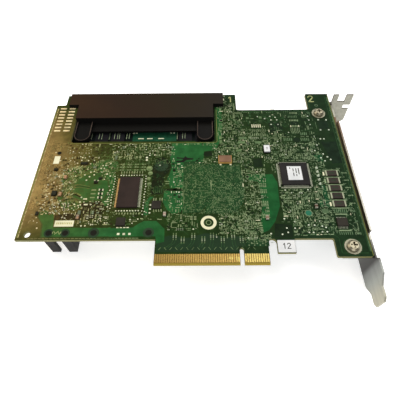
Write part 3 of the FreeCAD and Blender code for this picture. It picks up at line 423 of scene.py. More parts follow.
# Material name, dark and light colour, roughness, and the tooth's scale and strength where they
# differ.
MOULDED = {
    "bright": ("print_bright", (0.72, 0.7, 0.46), (0.86, 0.84, 0.6), 0.6),
    "olive": ("print_olive_bright", (0.4, 0.44, 0.18), (0.52, 0.55, 0.25), 0.6),
    "deep": ("deep_mask", (0.011, 0.031, 0.0115), (0.0145, 0.04, 0.015), 0.4),
    "edge": ("edge_olive", (0.13, 0.145, 0.036), (0.2, 0.21, 0.055), 0.5),
    "land": ("land_grey", (0.018, 0.038, 0.018), (0.03, 0.058, 0.028), 0.5),
    "teal": ("teal_land", (0.018, 0.15, 0.085), (0.03, 0.21, 0.12), 0.4),
    "hole": ("dark_hole", (0.008, 0.009, 0.006), (0.016, 0.016, 0.011), 0.6),
    "dark": ("chip_part_dark", (0.017, 0.018, 0.011), (0.034, 0.035, 0.021), 0.4),
    "brown": ("chip_part_tan", (0.16, 0.1, 0.05), (0.26, 0.17, 0.09), 0.5),
    "grey": ("chip_part_grey", (0.14, 0.17, 0.1), (0.21, 0.25, 0.15), 0.5),
    "black": ("black_moulding", (0.01, 0.01, 0.011), (0.02, 0.02, 0.021), 0.5),
    # the lobes' rims: real rims, drawn lighter as a painted highlight
    "rim": ("rubbed_rim", (0.06, 0.042, 0.034), (0.1, 0.072, 0.058), 0.5),
    "flat": ("flat_package", (0.026, 0.023, 0.018), (0.042, 0.037, 0.029), 0.5, 3200.0, 0.3),
    "chip": ("chip_epoxy", (0.014, 0.013, 0.013), (0.024, 0.022, 0.021), 0.46, 3200.0, 0.3),
    "flash": ("flash_epoxy", (0.028, 0.02, 0.017), (0.04, 0.027, 0.023), 0.42, 3200.0, 0.3),
    "module_chip": ("module_epoxy", (0.006, 0.006, 0.008), (0.011, 0.011, 0.014), 0.5, 3200.0, 0.3),
    "clip": ("clip_nylon", (0.022, 0.021, 0.02), (0.045, 0.043, 0.04), 0.48),
    "sticker": ("sticker_paper", (0.7, 0.72, 0.74), (0.84, 0.85, 0.86), 0.65),
    "oscillator_foot": ("oscillator_foot", (0.42, 0.24, 0.06), (0.6, 0.38, 0.12), 0.4),
    # the oscillator's metal lid: its brown is a painted reflection
    "oscillator": ("oscillator_lid", (0.2, 0.11, 0.065), (0.3, 0.17, 0.1), 0.35),
    "resistor": ("resistor_glaze", (0.026, 0.02, 0.015), (0.05, 0.04, 0.03), 0.3),
    "pad": ("thermal_pad", (0.3, 0.3, 0.31), (0.4, 0.4, 0.42), 0.8),
    "choke": ("choke_ferrite", (0.055, 0.055, 0.06), (0.095, 0.095, 0.1), 0.55),
    "nylon": ("plug_nylon", (0.66, 0.62, 0.5), (0.8, 0.77, 0.66), 0.45),
}

# Material name, dark and light colour, roughness, and where they differ the grain's scale, the
# metallic share and the stretch of the streaks.
METALS = {
    "screw": ("screw_nickel", (0.15, 0.125, 0.08), (0.42, 0.39, 0.28), 0.3, 420.0, 0.75),
    "washer": ("washer_zinc", (0.19, 0.18, 0.12), (0.32, 0.31, 0.22), 0.4, 700.0, 0.5),
    "resistor_end": ("resistor_caps", (0.22, 0.25, 0.15), (0.4, 0.42, 0.28), 0.5, 900.0, 0.2),
    "aluminium": ("extruded_aluminium", (0.6, 0.61, 0.62), (0.82, 0.83, 0.84), 0.32, 400.0, 1.0,
                  (1.0, 0.05, 1.0)),
    "cage": ("cage_nickel", (0.58, 0.57, 0.54), (0.78, 0.77, 0.73), 0.26, 500.0),
    "lead": ("lead_row", (0.22, 0.24, 0.17), (0.44, 0.46, 0.34), 0.5, 900.0, 0.2),
    "dull": ("dull_tin", (0.2, 0.26, 0.15), (0.34, 0.42, 0.25), 0.5, 900.0, 0.3),
}

MAT = {
    "board": board_material(), "pour": mask_shade("copper_under_mask", POUR_STOPS, 0.04).material,
    "patch": mask_shade("faint_copper", PATCH_STOPS, 0.04).material,
    "streaked": streaked_material(), "gold": gold_material(), "steel": bracket_material(),
    "handle": handle_material(), "flash_lead": flash_lead_material(), "module": module_material(),
}
for maker, table in ((lengthwise_material, LENGTHWISE), (moulded_material, MOULDED),
                     (metal_material, METALS)):
    MAT.update({key: maker(*row) for key, row in table.items()})

# Which nodes of the frame wear a material.
WORN_BY = {
    "board": "circuit_board", "gold": "edge_contacts", "steel": "bracket",
    "screw": "bracket_screws", "washer": "screw_washers", "handle": "module_handle",
    "module": "memory_board", "module_chip": "memory_chips", "flash": "flash_chip",
    "flash_lead": "flash_leads", "lead": "logic_leads driver_leads",
    "chip": "logic_chip processor power_transistors", "flat": "driver_chip flat_packages",
    "sticker": "logic_sticker backup_switch hook_label", "oscillator_foot": "oscillator",
    "oscillator": "oscillator_lid", "resistor": "sense_resistors",
    "resistor_end": "sense_resistor_ends", "ceramic": "chip_capacitors",
    "ceramic_end": "chip_capacitor_ends", "clip": "edge_clip", "pad": "thermal_pad",
    "black": "memory_socket switch_base alarm_buzzer header_strip port_inserts capacitor_bases",
    "tin": "header_pins power_transistor_leads battery_plug_pins",
    "aluminium": "heatsink capacitor_cans", "cage": "port_cage_1 port_cage_2",
    "choke": "power_chokes", "nylon": "battery_plug",
}
MATERIAL_OF = {node: key for key, nodes in WORN_BY.items() for node in nodes.split()}
for node_name, piece in NODES.items():
    piece.data.materials.clear()
    piece.data.materials.append(MAT[MATERIAL_OF[node_name]])


# ------------------------------------------------------------------ small pieces gathered in heaps

# Heights of the printed layers over the solder mask, and the step between shapes of one layer.
POUR_LEVEL, TRACE_LEVEL, PAD_LEVEL, PRINT_LEVEL = 0.012, 0.018, 0.028, 0.036
LAYER = 0.0002
# How far a line's pieces reach past their ends, in widths, so that bends stay closed.
OVERLAP = 0.3


def put(name, data):
    """A new object with the data, in the scene."""
    piece = bpy.data.objects.new(name, data)
    bpy.context.scene.collection.objects.link(piece)
    return piece


class Heap:
    """Many small solids and printed shapes that become one object. Each mark is a key of MAT."""

    def __init__(self, name, slot):
        self.name, self.slot = name, slot
        self.points, self.faces, self.marks = [], [], []

    def face(self, corners, mark):
        start = len(self.points)
        self.points.extend(at(*corner) for corner in corners)
        self.faces.append(tuple(range(start, start + len(corners))))
        self.marks.append(mark)

    def prism(self, outline, low, high, mark):
        """Upright walls and a lid over an outline that runs anticlockwise. low is nearer the board."""
        count = len(outline)
        if low > high:
            outline = outline[::-1]
        start = len(self.points)
        self.points.extend(at(x, y, low) for x, y in outline)
        self.points.extend(at(x, y, high) for x, y in outline)
        for index in range(count):
            after = (index + 1) % count
            self.faces.append((start + index, start + after, start + count + after,
                               start + count + index))
        self.faces.append(tuple(range(start + count, start + 2 * count)))
        self.marks.extend([mark] * (count + 1))

    def flat(self, outline, level, mark):
        """A printed shape, seen from above on the solder face or from below on the other."""
        if level < UNDER / 2:
            outline = outline[::-1]
        self.face([(x, y, level) for x, y in outline], mark)

    def line(self, points, width, level, mark):
        """A flat line of constant width through the points."""
        for (x1, y1), (x2, y2) in zip(points, points[1:]):
            length = math.hypot(x2 - x1, y2 - y1)
            if length < 1e-6:
                continue
            px, py = -(y2 - y1) / length * width / 2, (x2 - x1) / length * width / 2
            ex, ey = (x2 - x1) / length * width * OVERLAP, (y2 - y1) / length * width * OVERLAP
            self.flat([(x1 - ex + px, y1 - ey + py), (x1 - ex - px, y1 - ey - py),
                       (x2 + ex - px, y2 + ey - py), (x2 + ex + px, y2 + ey + py)], level, mark)

    def done(self):
        mesh = bpy.data.meshes.new(self.name)
        mesh.from_pydata(self.points, [], self.faces)
        used = sorted(set(self.marks))
        for mark in used:
            mesh.materials.append(MAT[mark])
        mesh.polygons.foreach_set("material_index", [used.index(mark) for mark in self.marks])
        mesh.update()
        piece = put(self.name, mesh)
        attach(piece, "root")


def turned_box(x, y, width, depth, turn=0):
    cos, sin = math.cos(math.radians(turn)), math.sin(math.radians(turn))
    corners = []
    for across, up in ((-1, -1), (1, -1), (1, 1), (-1, 1)):
        across, up = across * width / 2, up * depth / 2
        corners.append((x + across * cos - up * sin, y + across * sin + up * cos))
    return corners


def circle(x, y, radius, sides=10, start=0.0):
    return [(x + radius * math.cos(start + 2 * math.pi * step / sides),
             y + radius * math.sin(start + 2 * math.pi * step / sides)) for step in range(sides)]


def ordered(outline):
    """The outline with its corners anticlockwise."""
    area = sum(x1 * y2 - x2 * y1 for (x1, y1), (x2, y2) in zip(outline, outline[1:] + outline[:1]))
    return outline if area > 0 else outline[::-1]


def row(draw, count, pitch, x, y, *rest):
    """One thing drawn again and again, at a pitch along X or at a pair of pitches."""
    across, up = pitch if isinstance(pitch, tuple) else (pitch, 0)
    for step in range(count):
        draw(x + step * across, y + step * up, *rest)


# ------------------------------------------------------------------ solder side: copper fields

# Areas that lie below the others.
SWEPT_GROUND = [
    (-88.6, 52.8), (-84, 56.4), (-79, 55.2), (-74, 58.6), (-66, 55), (-61.8, 50), (-61.6, 40),
    (-63, 31.4), (-69, 29.6), (-74, 31.8), (-80, 28.6), (-86, 30.6), (-89.4, 36), (-87.6, 43),
    (-90, 48)]
OVER_CONTACTS = [
    (-38.4, 12.4), (-33, 14.6), (-24, 13.2), (-16, 15.8), (-7, 13.4), (0.6, 14.2), (2, 10.6),
    (1.6, 8.9), (-1.6, 8.9), (-1.6, 6.2), (-38.4, 6.2)]
# Each field's material and outline. The first RIMMED ones have a faint rim, a little wider.
RIMMED, RIM_GROWTH = 3, 1.07
FIELDS = [
    # far end: the swept field beside the memory chip, and the block over the clip
    ("streaked", [(-85.8, 50.7), (-82.9, 52.7), (-75.6, 51.8), (-70.1, 49.3), (-65.7, 46),
     (-64.3, 40.6), (-66.6, 34.6), (-77.6, 34.6), (-84.4, 31.8), (-86.4, 38.5), (-85.2, 44.6)]),
    ("pour", [(-95.9, 29), (-92.6, 28.4), (-88.7, 26.4), (-87.9, 23.3), (-87.4, 19.2), (-62, 18.8),
     (-60.4, 19.2), (-60.4, 14.4), (-91.6, 14.4), (-92.6, 21), (-95.9, 25.5)]),
    ("streaked", [(-76.4, 58), (-68, 60.4), (-62, 58.4), (-62.6, 52.4), (-70, 51), (-74, 53)]),
    # round the right-hand land of the battery plug: an arch with chamfered shoulders
    ("pour", [(-60.4, 18.6), (-50, 19), (-47.8, 20.8), (-45.1, 22.4), (-39.3, 22.4), (-35.2, 18.1),
     (-35, 11.4), (-38.6, 10.4), (-39.2, 14.2), (-60.4, 14.2)]),
    ("pour", [(-45.6, 25.6), (-45.7, 32.8), (-43.4, 36.3), (-41.4, 36.2), (-43.8, 33.4),
     (-43.6, 25.6)]),
    # beside and below the memory bay, and down to the processor's field
    ("pour", [(-9.8, 100.2), (-6.4, 100.2), (-6.2, 84), (-7, 77.6), (-8.6, 71), (-10.4, 66.4),
     (-16.7, 65.6), (-16.9, 58.4), (-22.6, 57.4), (-26.6, 54), (-27.2, 41.4), (-33.6, 41.4),
     (-35.4, 47.6), (-33.4, 54), (-34.6, 61.4), (-34, 71.8), (-9.8, 71.8)]),
    ("pour", [(-36.6, 39.6), (-27.4, 39.6), (-27, 27.6), (-32, 26), (-35, 29), (-36.8, 33)]),
    # the long strip beside the processor's field
    ("pour", [(5.8, 49.7), (18.2, 49.7), (20.2, 44.4), (19.8, 30.2), (16.6, 21.8), (13.2, 17),
     (10.4, 15.8), (9.8, 22.6), (11.6, 31), (10.6, 45.2), (6, 45.6)]),
    # two faint halves of the processor's field
    ("patch", [(-27.4, 58.2), (-21, 59), (-16.2, 57), (-14, 50), (-15.2, 42), (-13.6, 33),
     (-19, 27), (-27, 26.4)]),
    ("patch", [(-15.6, 56.6), (-6, 57), (1.6, 55), (3.4, 47), (2.6, 33), (-1, 27.4), (-9, 25.8),
     (-16, 27)]),
    # small areas beside the sense resistors, and a faint band above the short row of contacts
    ("pour", [(41.6, 62.2), (45.8, 62.6), (46, 58.3), (42.2, 58)]),
    ("pour", [(39.4, 33.4), (45.2, 34), (45, 29.4), (39.2, 29.4)]),
    ("pour", [(41.8, 42.4), (43.6, 42.4), (44.4, 33), (42, 33)]),
    ("patch", [(2.2, 12.6), (12.6, 12.6), (12.6, 8.8), (2.2, 8.8)]),
]


def copper_fields():
    """Plain copper areas that show through the mask as brighter green."""
    heap = Heap("copper_fields", "board")
    heap.flat(ordered(SWEPT_GROUND), POUR_LEVEL / 4, "streaked")
    heap.flat(ordered(OVER_CONTACTS), POUR_LEVEL / 4, "deep")
    for index, (mark, outline) in enumerate(FIELDS):
        heap.flat(ordered(outline), POUR_LEVEL + index * LAYER, mark)
    for index, (_, outline) in enumerate(FIELDS[:RIMMED]):
        middle = [sum(along) / len(outline) for along in zip(*outline)]
        wider = [tuple(m + (p - m) * RIM_GROWTH for p, m in zip(point, middle))
                 for point in outline]
        heap.flat(ordered(wider), POUR_LEVEL / 2 + index * LAYER, "patch")
    heap.done()


# ------------------------------------------------------------------ dressing of a face of the board

class Grid:
    """Which half-millimetre cells of the board are already taken."""
    CELL = 0.5

    def __init__(self):
        self.taken = set()

    def cells(self, left, right, low, high):
        first, last = int(left // self.CELL), int(right // self.CELL)
        base, top = int(low // self.CELL), int(high // self.CELL)
        return [(across, up) for across in range(first, last + 1) for up in range(base, top + 1)]

    def free(self, left, right, low, high):
        return not any(cell in self.taken for cell in self.cells(left, right, low, high))

    def take(self, left, right, low, high):
        self.taken.update(self.cells(left, right, low, high))


# Solder beads as rings from the board up, in shares of radius and height.
BEAD_RINGS, BEAD_SIDES = ((1, 0), (0.82, 0.55), (0.4, 1)), 10
# A via's hole in shares of its radius; a chip part's end caps in shares of its length and height;
# the shoulder of a part by itself in shares of its height and its narrower side.
VIA_HOLE, CAP_LENGTH, CAP_HEIGHT, SHOULDER, BEVEL = 0.42, 0.24, 1.06, 0.85, 0.12
# Plain numerals as straight strokes, in shares of their width and height, and the shares of their
# height that they are wide and that a stroke is.
NUMERAL_WIDTH, NUMERAL_STROKE = 0.55, 0.13
NUMERALS = {1: [(0.1, 0.75, 0.5, 1), (0.5, 1, 0.5, 0)],
            2: [(0, 0.8, 0.25, 1), (0.25, 1, 0.75, 1), (0.75, 1, 1, 0.75), (1, 0.75, 0, 0),
                (0, 0, 1, 0)]}


class Dressing:
    """Everything small on one face of the board. sign is +1 on the solder face, -1 beneath."""

    def __init__(self, name, face, sign, seed):
        self.face, self.sign = face, sign
        self.random = random.Random(seed)
        self.choice, self.uniform = self.random.choice, self.random.uniform
        self.chance = self.random.random
        self.grid = Grid()
        self.print = Heap(name + "_print", "board")
        self.pads = Heap(name + "_pads", "tinned")
        self.parts = Heap(name + "_chips", "chip_black")

    # ---- room on the board

    def take(self, *areas):
        """No clusters in these areas: left, right, low, high."""
        for area in areas:
            self.grid.take(*area)

    def take_round(self, x, y, half_x, half_y=None):
        half_y = half_x if half_y is None else half_y
        self.grid.take(x - half_x, x + half_x, y - half_y, y + half_y)

    def open_ground(self):
        """From here on, fine strokes keep off what is taken now and nothing else."""
        self.closed = set(self.grid.taken)

    # ---- flat shapes

    def level(self, height):
        return self.face + self.sign * height

    def flat(self, outline, height, mark, heap=None):
        (heap or self.print).flat(ordered(outline), self.level(height), mark)

    def bar(self, x, y, width, depth, mark="print", turn=0, height=PRINT_LEVEL):
        self.flat(turned_box(x, y, width, depth, turn), height, mark)

    def land(self, x, y, width, depth, mark="print", turn=0):
        """A bar under the print."""
        self.bar(x, y, width, depth, mark, turn, PAD_LEVEL)

    def shadow(self, x, y, width, depth, mark="gap"):
        """A bar under the lands."""
        self.bar(x, y, width, depth, mark, height=TRACE_LEVEL)

    def disc(self, x, y, radius, sides, mark, height=PAD_LEVEL):
        self.flat(circle(x, y, radius, sides), height, mark)

    def ring(self, x, y, inner, outer, mark, sides, height=PAD_LEVEL):
        inside, outside = circle(x, y, inner, sides), circle(x, y, outer, sides)
        for step in range(sides):
            after = (step + 1) % sides
            self.flat([inside[step], outside[step], outside[after], inside[after]], height, mark)

    def track(self, points, width, mark="trace", height=TRACE_LEVEL):
        self.print.line(points, width, self.level(height), mark)

    def numeral(self, digit, x, y, tall, mark, height=PRINT_LEVEL):
        wide, stroke = tall * NUMERAL_WIDTH, tall * NUMERAL_STROKE
        for x1, y1, x2, y2 in NUMERALS[digit]:
            self.track([(x + x1 * wide, y + y1 * tall), (x + x2 * wide, y + y2 * tall)], stroke,
                       mark, height)

    def via(self, x, y, radius=0.3, mark="via"):
        self.flat(circle(x, y, radius, 8, math.pi / 8), PAD_LEVEL, mark)
        self.disc(x, y, radius * VIA_HOLE, 4, "hole", PRINT_LEVEL)

    # ---- solder and parts

    def solid(self, heap, outline, low, high, mark):
        heap.prism(ordered(outline), self.level(low), self.level(high), mark)

    def bead(self, x, y, radius, height=0.22):
        """A domed solder joint: two rings and a crown."""
        rings = [(radius * wide, height * tall) for wide, tall in BEAD_RINGS]
        for (wide, low), (narrow, high) in zip(rings, rings[1:]):
            base, top = circle(x, y, wide, BEAD_SIDES), circle(x, y, narrow, BEAD_SIDES)
            for step in range(BEAD_SIDES):
                after = (step + 1) % BEAD_SIDES
                face = [(*base[step], self.level(low)), (*base[after], self.level(low)),
                        (*top[after], self.level(high)), (*top[step], self.level(high))]
                self.pads.face(face if self.sign > 0 else face[::-1], "tin")
        self.flat(circle(x, y, rings[-1][0], BEAD_SIDES), height, "tin", self.pads)

    def joint(self, x, y, radius):
        """A through-hole pin's tail, soldered."""
        self.via(x, y, radius * 1.15)
        self.bead(x, y, radius, 0.35)

    def pad(self, x, y, width, depth, height=0.06):
        self.solid(self.pads, turned_box(x, y, width, depth), 0, height, "tin")

    def dots(self, places, radius):
        """Bright round lands, with the cells under them taken."""
        for x, y in places:
            self.bead(x, y, radius, 0.14)
            self.take_round(x, y, radius + 0.2)

    def solo(self, x, y, wide, deep, tall, body):
        """A part by itself: a body with a bevelled top, and the shade of its foot."""
        rim = min(wide, deep) * BEVEL
        self.shadow(x, y, wide + 0.7, deep + 0.7)
        self.solid(self.parts, turned_box(x, y, wide, deep), 0, tall * SHOULDER, body)
        self.solid(self.parts, turned_box(x, y, wide - rim, deep - rim), tall * SHOULDER, tall, body)
        self.take_round(x, y, wide / 2 + 0.5, deep / 2 + 0.5)

    def passive(self, x, y, long, wide, tall, body, upright):
        """A chip part: a body between two soldered end caps, which are bright at the far end."""
        end = long * CAP_LENGTH
        cap = "tin" if x < -60 and body != "grey" else "dull"
        for side, depth, rise, mark in ((0, long - 2 * end, tall, body),
                                        (-1, end, tall * CAP_HEIGHT, cap),
                                        (1, end, tall * CAP_HEIGHT, cap)):
            shift = side * (long - end) / 2
            outline = (turned_box(x, y + shift, wide, depth) if upright
                       else turned_box(x + shift, y, depth, wide))
            self.solid(self.parts, outline, 0, rise, mark)

    # ---- clusters: each returns its half sizes and a drawing function

    def in_row(self, count, pitch, wide, half_deep, upright, draw_one):
        """Things of one width side by side, at a pitch along X if upright and along Y if not."""
        run = pitch * (count - 1)

        def draw(x, y):
            for index in range(count):
                shift = index * pitch - run / 2
                draw_one(*((x + shift, y) if upright else (x, y + shift)))
        half_run = (run + wide) / 2
        return (half_run, half_deep, draw) if upright else (half_deep, half_run, draw)

    def row_of_passives(self):
        long, wide, tall = (1.0, 0.5, 0.35) if self.chance() < 0.75 else (1.6, 0.8, 0.5)
        count = self.choice((1, 1, 2, 2, 3, 4, 5))
        upright = self.chance() < 0.55
        body = self.choice(("dark", "dark", "grey", "grey"))
        return self.in_row(count, wide + self.choice((0.45, 0.6)), wide, long / 2, upright,
                           lambda x, y: self.passive(x, y, long, wide, tall, body, upright))

    def row_of_pads(self):
        count = self.choice((2, 3, 4, 5, 6))
        upright = self.chance() < 0.6
        wide, deep = self.choice(((0.34, 0.9), (0.42, 1.2), (0.5, 0.7)))
        gap, sides = (deep * 0.75, (-1, 1)) if self.chance() < 0.5 else (0, (0,))

        def draw_one(x, y):
            for side in sides:
                if upright:
                    self.land(x, y + side * gap, wide, deep)
                else:
                    self.land(x + side * gap, y, deep, wide)
        return self.in_row(count, wide + 0.34, wide, deep / 2 + gap, upright, draw_one)

    def single_dash(self):
        upright = self.chance() < 0.5
        long = self.choice((0.8, 1.1, 1.5, 2.1))
        wide = self.choice((0.26, 0.34, 0.42))
        mark = "bright" if self.chance() < 0.12 else "print"
        size = (wide, long) if upright else (long, wide)
        return size[0] / 2, size[1] / 2, lambda x, y: self.bar(x, y, *size, mark)

    def bracket_mark(self):
        """The printed outline of a part, open on one side."""
        half_x, half_y = self.choice(((0.7, 1.1), (1.1, 0.7), (1.3, 1.3), (0.8, 1.6)))
        open_side = self.random.randrange(4)
        stroke = 0.22

        def draw(x, y):
            sides = [(x, y + half_y, 2 * half_x, stroke), (x, y - half_y, 2 * half_x, stroke),
                     (x - half_x, y, stroke, 2 * half_y), (x + half_x, y, stroke, 2 * half_y)]
            for index, side in enumerate(sides):
                if index != open_side:
                    self.bar(*side)
            if self.chance() < 0.7:
                self.land(x, y, half_x * 0.8, half_y * 0.8)
        return half_x, half_y, draw

    def via_group(self):
        across, up = self.choice(((1, 1), (2, 1), (1, 2), (2, 2), (3, 1), (3, 2), (1, 3)))
        pitch = self.choice((0.8, 0.95, 1.1))
        radius = self.choice((0.24, 0.28, 0.33))

        def draw(x, y):
            for column in range(across):
                for line in range(up):
                    self.via(x + (column - (across - 1) / 2) * pitch,
                             y + (line - (up - 1) / 2) * pitch, radius)
        return across * pitch / 2, up * pitch / 2, draw

    def bright_dot(self):
        radius = self.choice((0.3, 0.36, 0.44))
        return radius, radius, lambda x, y: self.bead(x, y, radius, 0.12)

    def dark_gap(self):
        """A small opening in the copper, seen as a darker patch."""
        half_x, half_y = self.uniform(0.4, 1.1), self.uniform(0.4, 1.1)
        turn = self.uniform(0, 60)
        sides = self.choice((4, 5, 6))

        def draw(x, y):
            self.flat([(x + (px - x) * half_x, y + (py - y) * half_y)
                       for px, py in circle(x, y, 1.0, sides, turn)], TRACE_LEVEL, "gap")
        return half_x * 0.8, half_y * 0.8, draw

    def fill(self, area, tries, weights, spacing=0.02):
        """Clusters at random places of the area that are still free."""
        kinds = (self.row_of_passives, self.row_of_pads, self.single_dash, self.bracket_mark,
                 self.via_group, self.bright_dot, self.dark_gap)
        left, right, low, high = area
        for _ in range(tries):
            kind = self.random.choices(kinds, weights)[0]
            half_x, half_y, draw = kind()
            if right - left < 2 * half_x or high - low < 2 * half_y:
                continue
            x = self.uniform(left + half_x, right - half_x)
            y = self.uniform(low + half_y, high - half_y)
            box = (x - half_x - spacing, x + half_x + spacing,
                   y - half_y - spacing, y + half_y + spacing)
            if self.grid.free(*box):
                self.grid.take(*box)
                draw(x, y)

    def bundles(self, area, count, width):
        """Groups of parallel tracks with one 45 degree jog each."""
        left, right, low, high = area
        for _ in range(count):
            x, y = self.uniform(left, right), self.uniform(low, high)
            heading = math.radians(self.choice((0, 45, 90, 135)))
            jog = heading + math.radians(self.choice((-45, 45)))
            first, second = self.uniform(1.5, 6), self.uniform(1.5, 5)
            side = (-math.sin(heading), math.cos(heading))
            for lane in range(self.choice((1, 2, 3, 4))):
                shift = lane * width * 2.1
                start = (x + side[0] * shift, y + side[1] * shift)
                bend = (start[0] + math.cos(heading) * first, start[1] + math.sin(heading) * first)
                end = (bend[0] + math.cos(jog) * second, bend[1] + math.sin(jog) * second)
                points = [start, bend, end]
                if all(left <= px <= right and low <= py <= high and self.grid.free(px, px, py, py)
                       for px, py in points):
                    self.track(points, width)

    def fine(self, area, count, marks, reach=(0.4, 1.2), width=0.22):
        """Short strokes of print and copper between everything else, some of them bent."""
        left, right, low, high = area
        for index in range(count):
            x, y = self.uniform(left, right), self.uniform(low, high)
            heading = math.radians(self.choice((0, 45, 90, 90, 135, 180)))
            bend = heading + math.radians(self.choice((-70, 0, 0, 70)))
            half = self.uniform(*reach) / 2
            points = [(x, y), (x + math.cos(heading) * half, y + math.sin(heading) * half)]
            points.append((points[1][0] + math.cos(bend) * half, points[1][1] + math.sin(bend) * half))
            mark = self.choice(marks)
            if all(self.grid.cells(px, px, py, py)[0] not in self.closed for px, py in points):
                self.track(points, width, mark, TRACE_LEVEL + index % 9 * LAYER)

    def done(self):
        for heap in (self.print, self.pads, self.parts):
            heap.done()


# ------------------------------------------------------------------ solder side: parts and print

# The two lobes of the module's handle: half-round ends that point at the foot.
LOBE_MIDDLES, LOBE_CENTRE, LOBE_RADIUS = (-84.78, -16.02), 78.9, 4.15
LOBE_TOP, RIM_LEVEL, RIM_WIDTH = 89, -0.18, 0.36
# The chip capacitors of the frame, which are one node.
CAPACITORS = ((-87.5, 48.6), (-88, 38), (-76.8, 24.6), (-35.6, 25.9), (13, 23.6), (37.1, 29.8))
# The sense resistors stand one above the other; the upper screw and the lower one are in line.
RESISTORS, RESISTOR_LOW, RESISTOR_PITCH = 5, 31.2, 4.65
SCREW_X, UPPER_SCREW, LOWER_SCREW = 49.65, 93.8, 8.2
# The plain printed ring above the contacts, and how high the battery plug's lands are.
RING_X, RING_Y = -14.7, 21.3
PLUG_Y = 16.2
# How far print stands over a part's top.
INK = 0.01
# Bare on both faces: below the cut lower edge, beside the contacts, over them, and between the
# two upper tabs. Like all areas they are left, right, low, high.
CUTS = ((-106, -38, 10, 12.8), (24.4, 42.3, 0, 13.2), (-38.6, 16, 0, 9.6), (2.4, 44.6, 97.2, 112))


def solder_side():
    dress = Dressing("solder_side", 0, 1, 7)
    close_ground(dress)
    for section in (far_end, battery_plug_lands, swept_tracks, far_edges, memory_corner,
                    empty_footprint, flat_package_lands, processor_field, bracket_joints,
                    logic_lands, combs, plain_areas, driver_corner, resistor_frames, edge_lines,
                    screw_side, part_tops, foot, scatter):
        section(dress)
    dress.done()


def close_ground(dress):
    """Where no clusters and strokes go: raised parts, plain copper, screw lands, bay and edges."""
    for node in ("flash_leads", "logic_leads", "oscillator", "backup_switch", "driver_leads",
                 "sense_resistors"):
        left, right, low, high, *_ = span(node)
        dress.take((left - 0.4, right + 0.4, low - 0.4, high + 0.4))
    # a painted shadow round each chip capacitor
    for x, y in CAPACITORS:
        dress.shadow(x, y, 1.9, 2.7)
        dress.take_round(x, y, 1, 1.4)
    # the memory bay and the plain mask below it, the far corner, the upper tabs, the side edges
    dress.take(*CUTS, (-91.8, -9.8, 72.4, 112), (-32, -13, 61, 69.6), (-106, -98.2, 100.4, 112),
               (-2.6, 1.9, 103.6, 110.6), (45, 57, 97.4, 112), (-106, -100.4, 12, 104),
               (55.4, 58, 12, 112))
    # plain copper: the swept field, the block over the clip, the plug's arch and the long strip
    dress.take((-80.6, -66, 35, 46), (-79.4, -70, 46, 51.4), (-97.2, -86.4, 12, 25.6),
               (-88, -62, 12, 19), (-60.4, -34.8, 12, 18.4), (-48, -34.8, 18, 22.6),
               (14.6, 20.2, 22, 49.6), (10.6, 15.6, 15.4, 24.6))
    # the outline near the upper screw, and plain gaps
    dress.take((46, 54.8, 79, 90.4), (46.6, 57, 53.6, 79), (16, 24, 12.6, 20.6), (9, 14, 54.4, 60.2))
    for x, y, half in ((SCREW_X, UPPER_SCREW, 3.6), (SCREW_X, LOWER_SCREW, 4.4),
                       (RING_X, RING_Y, 4.4)):
        dress.take_round(x, y, half)
    dress.open_ground()


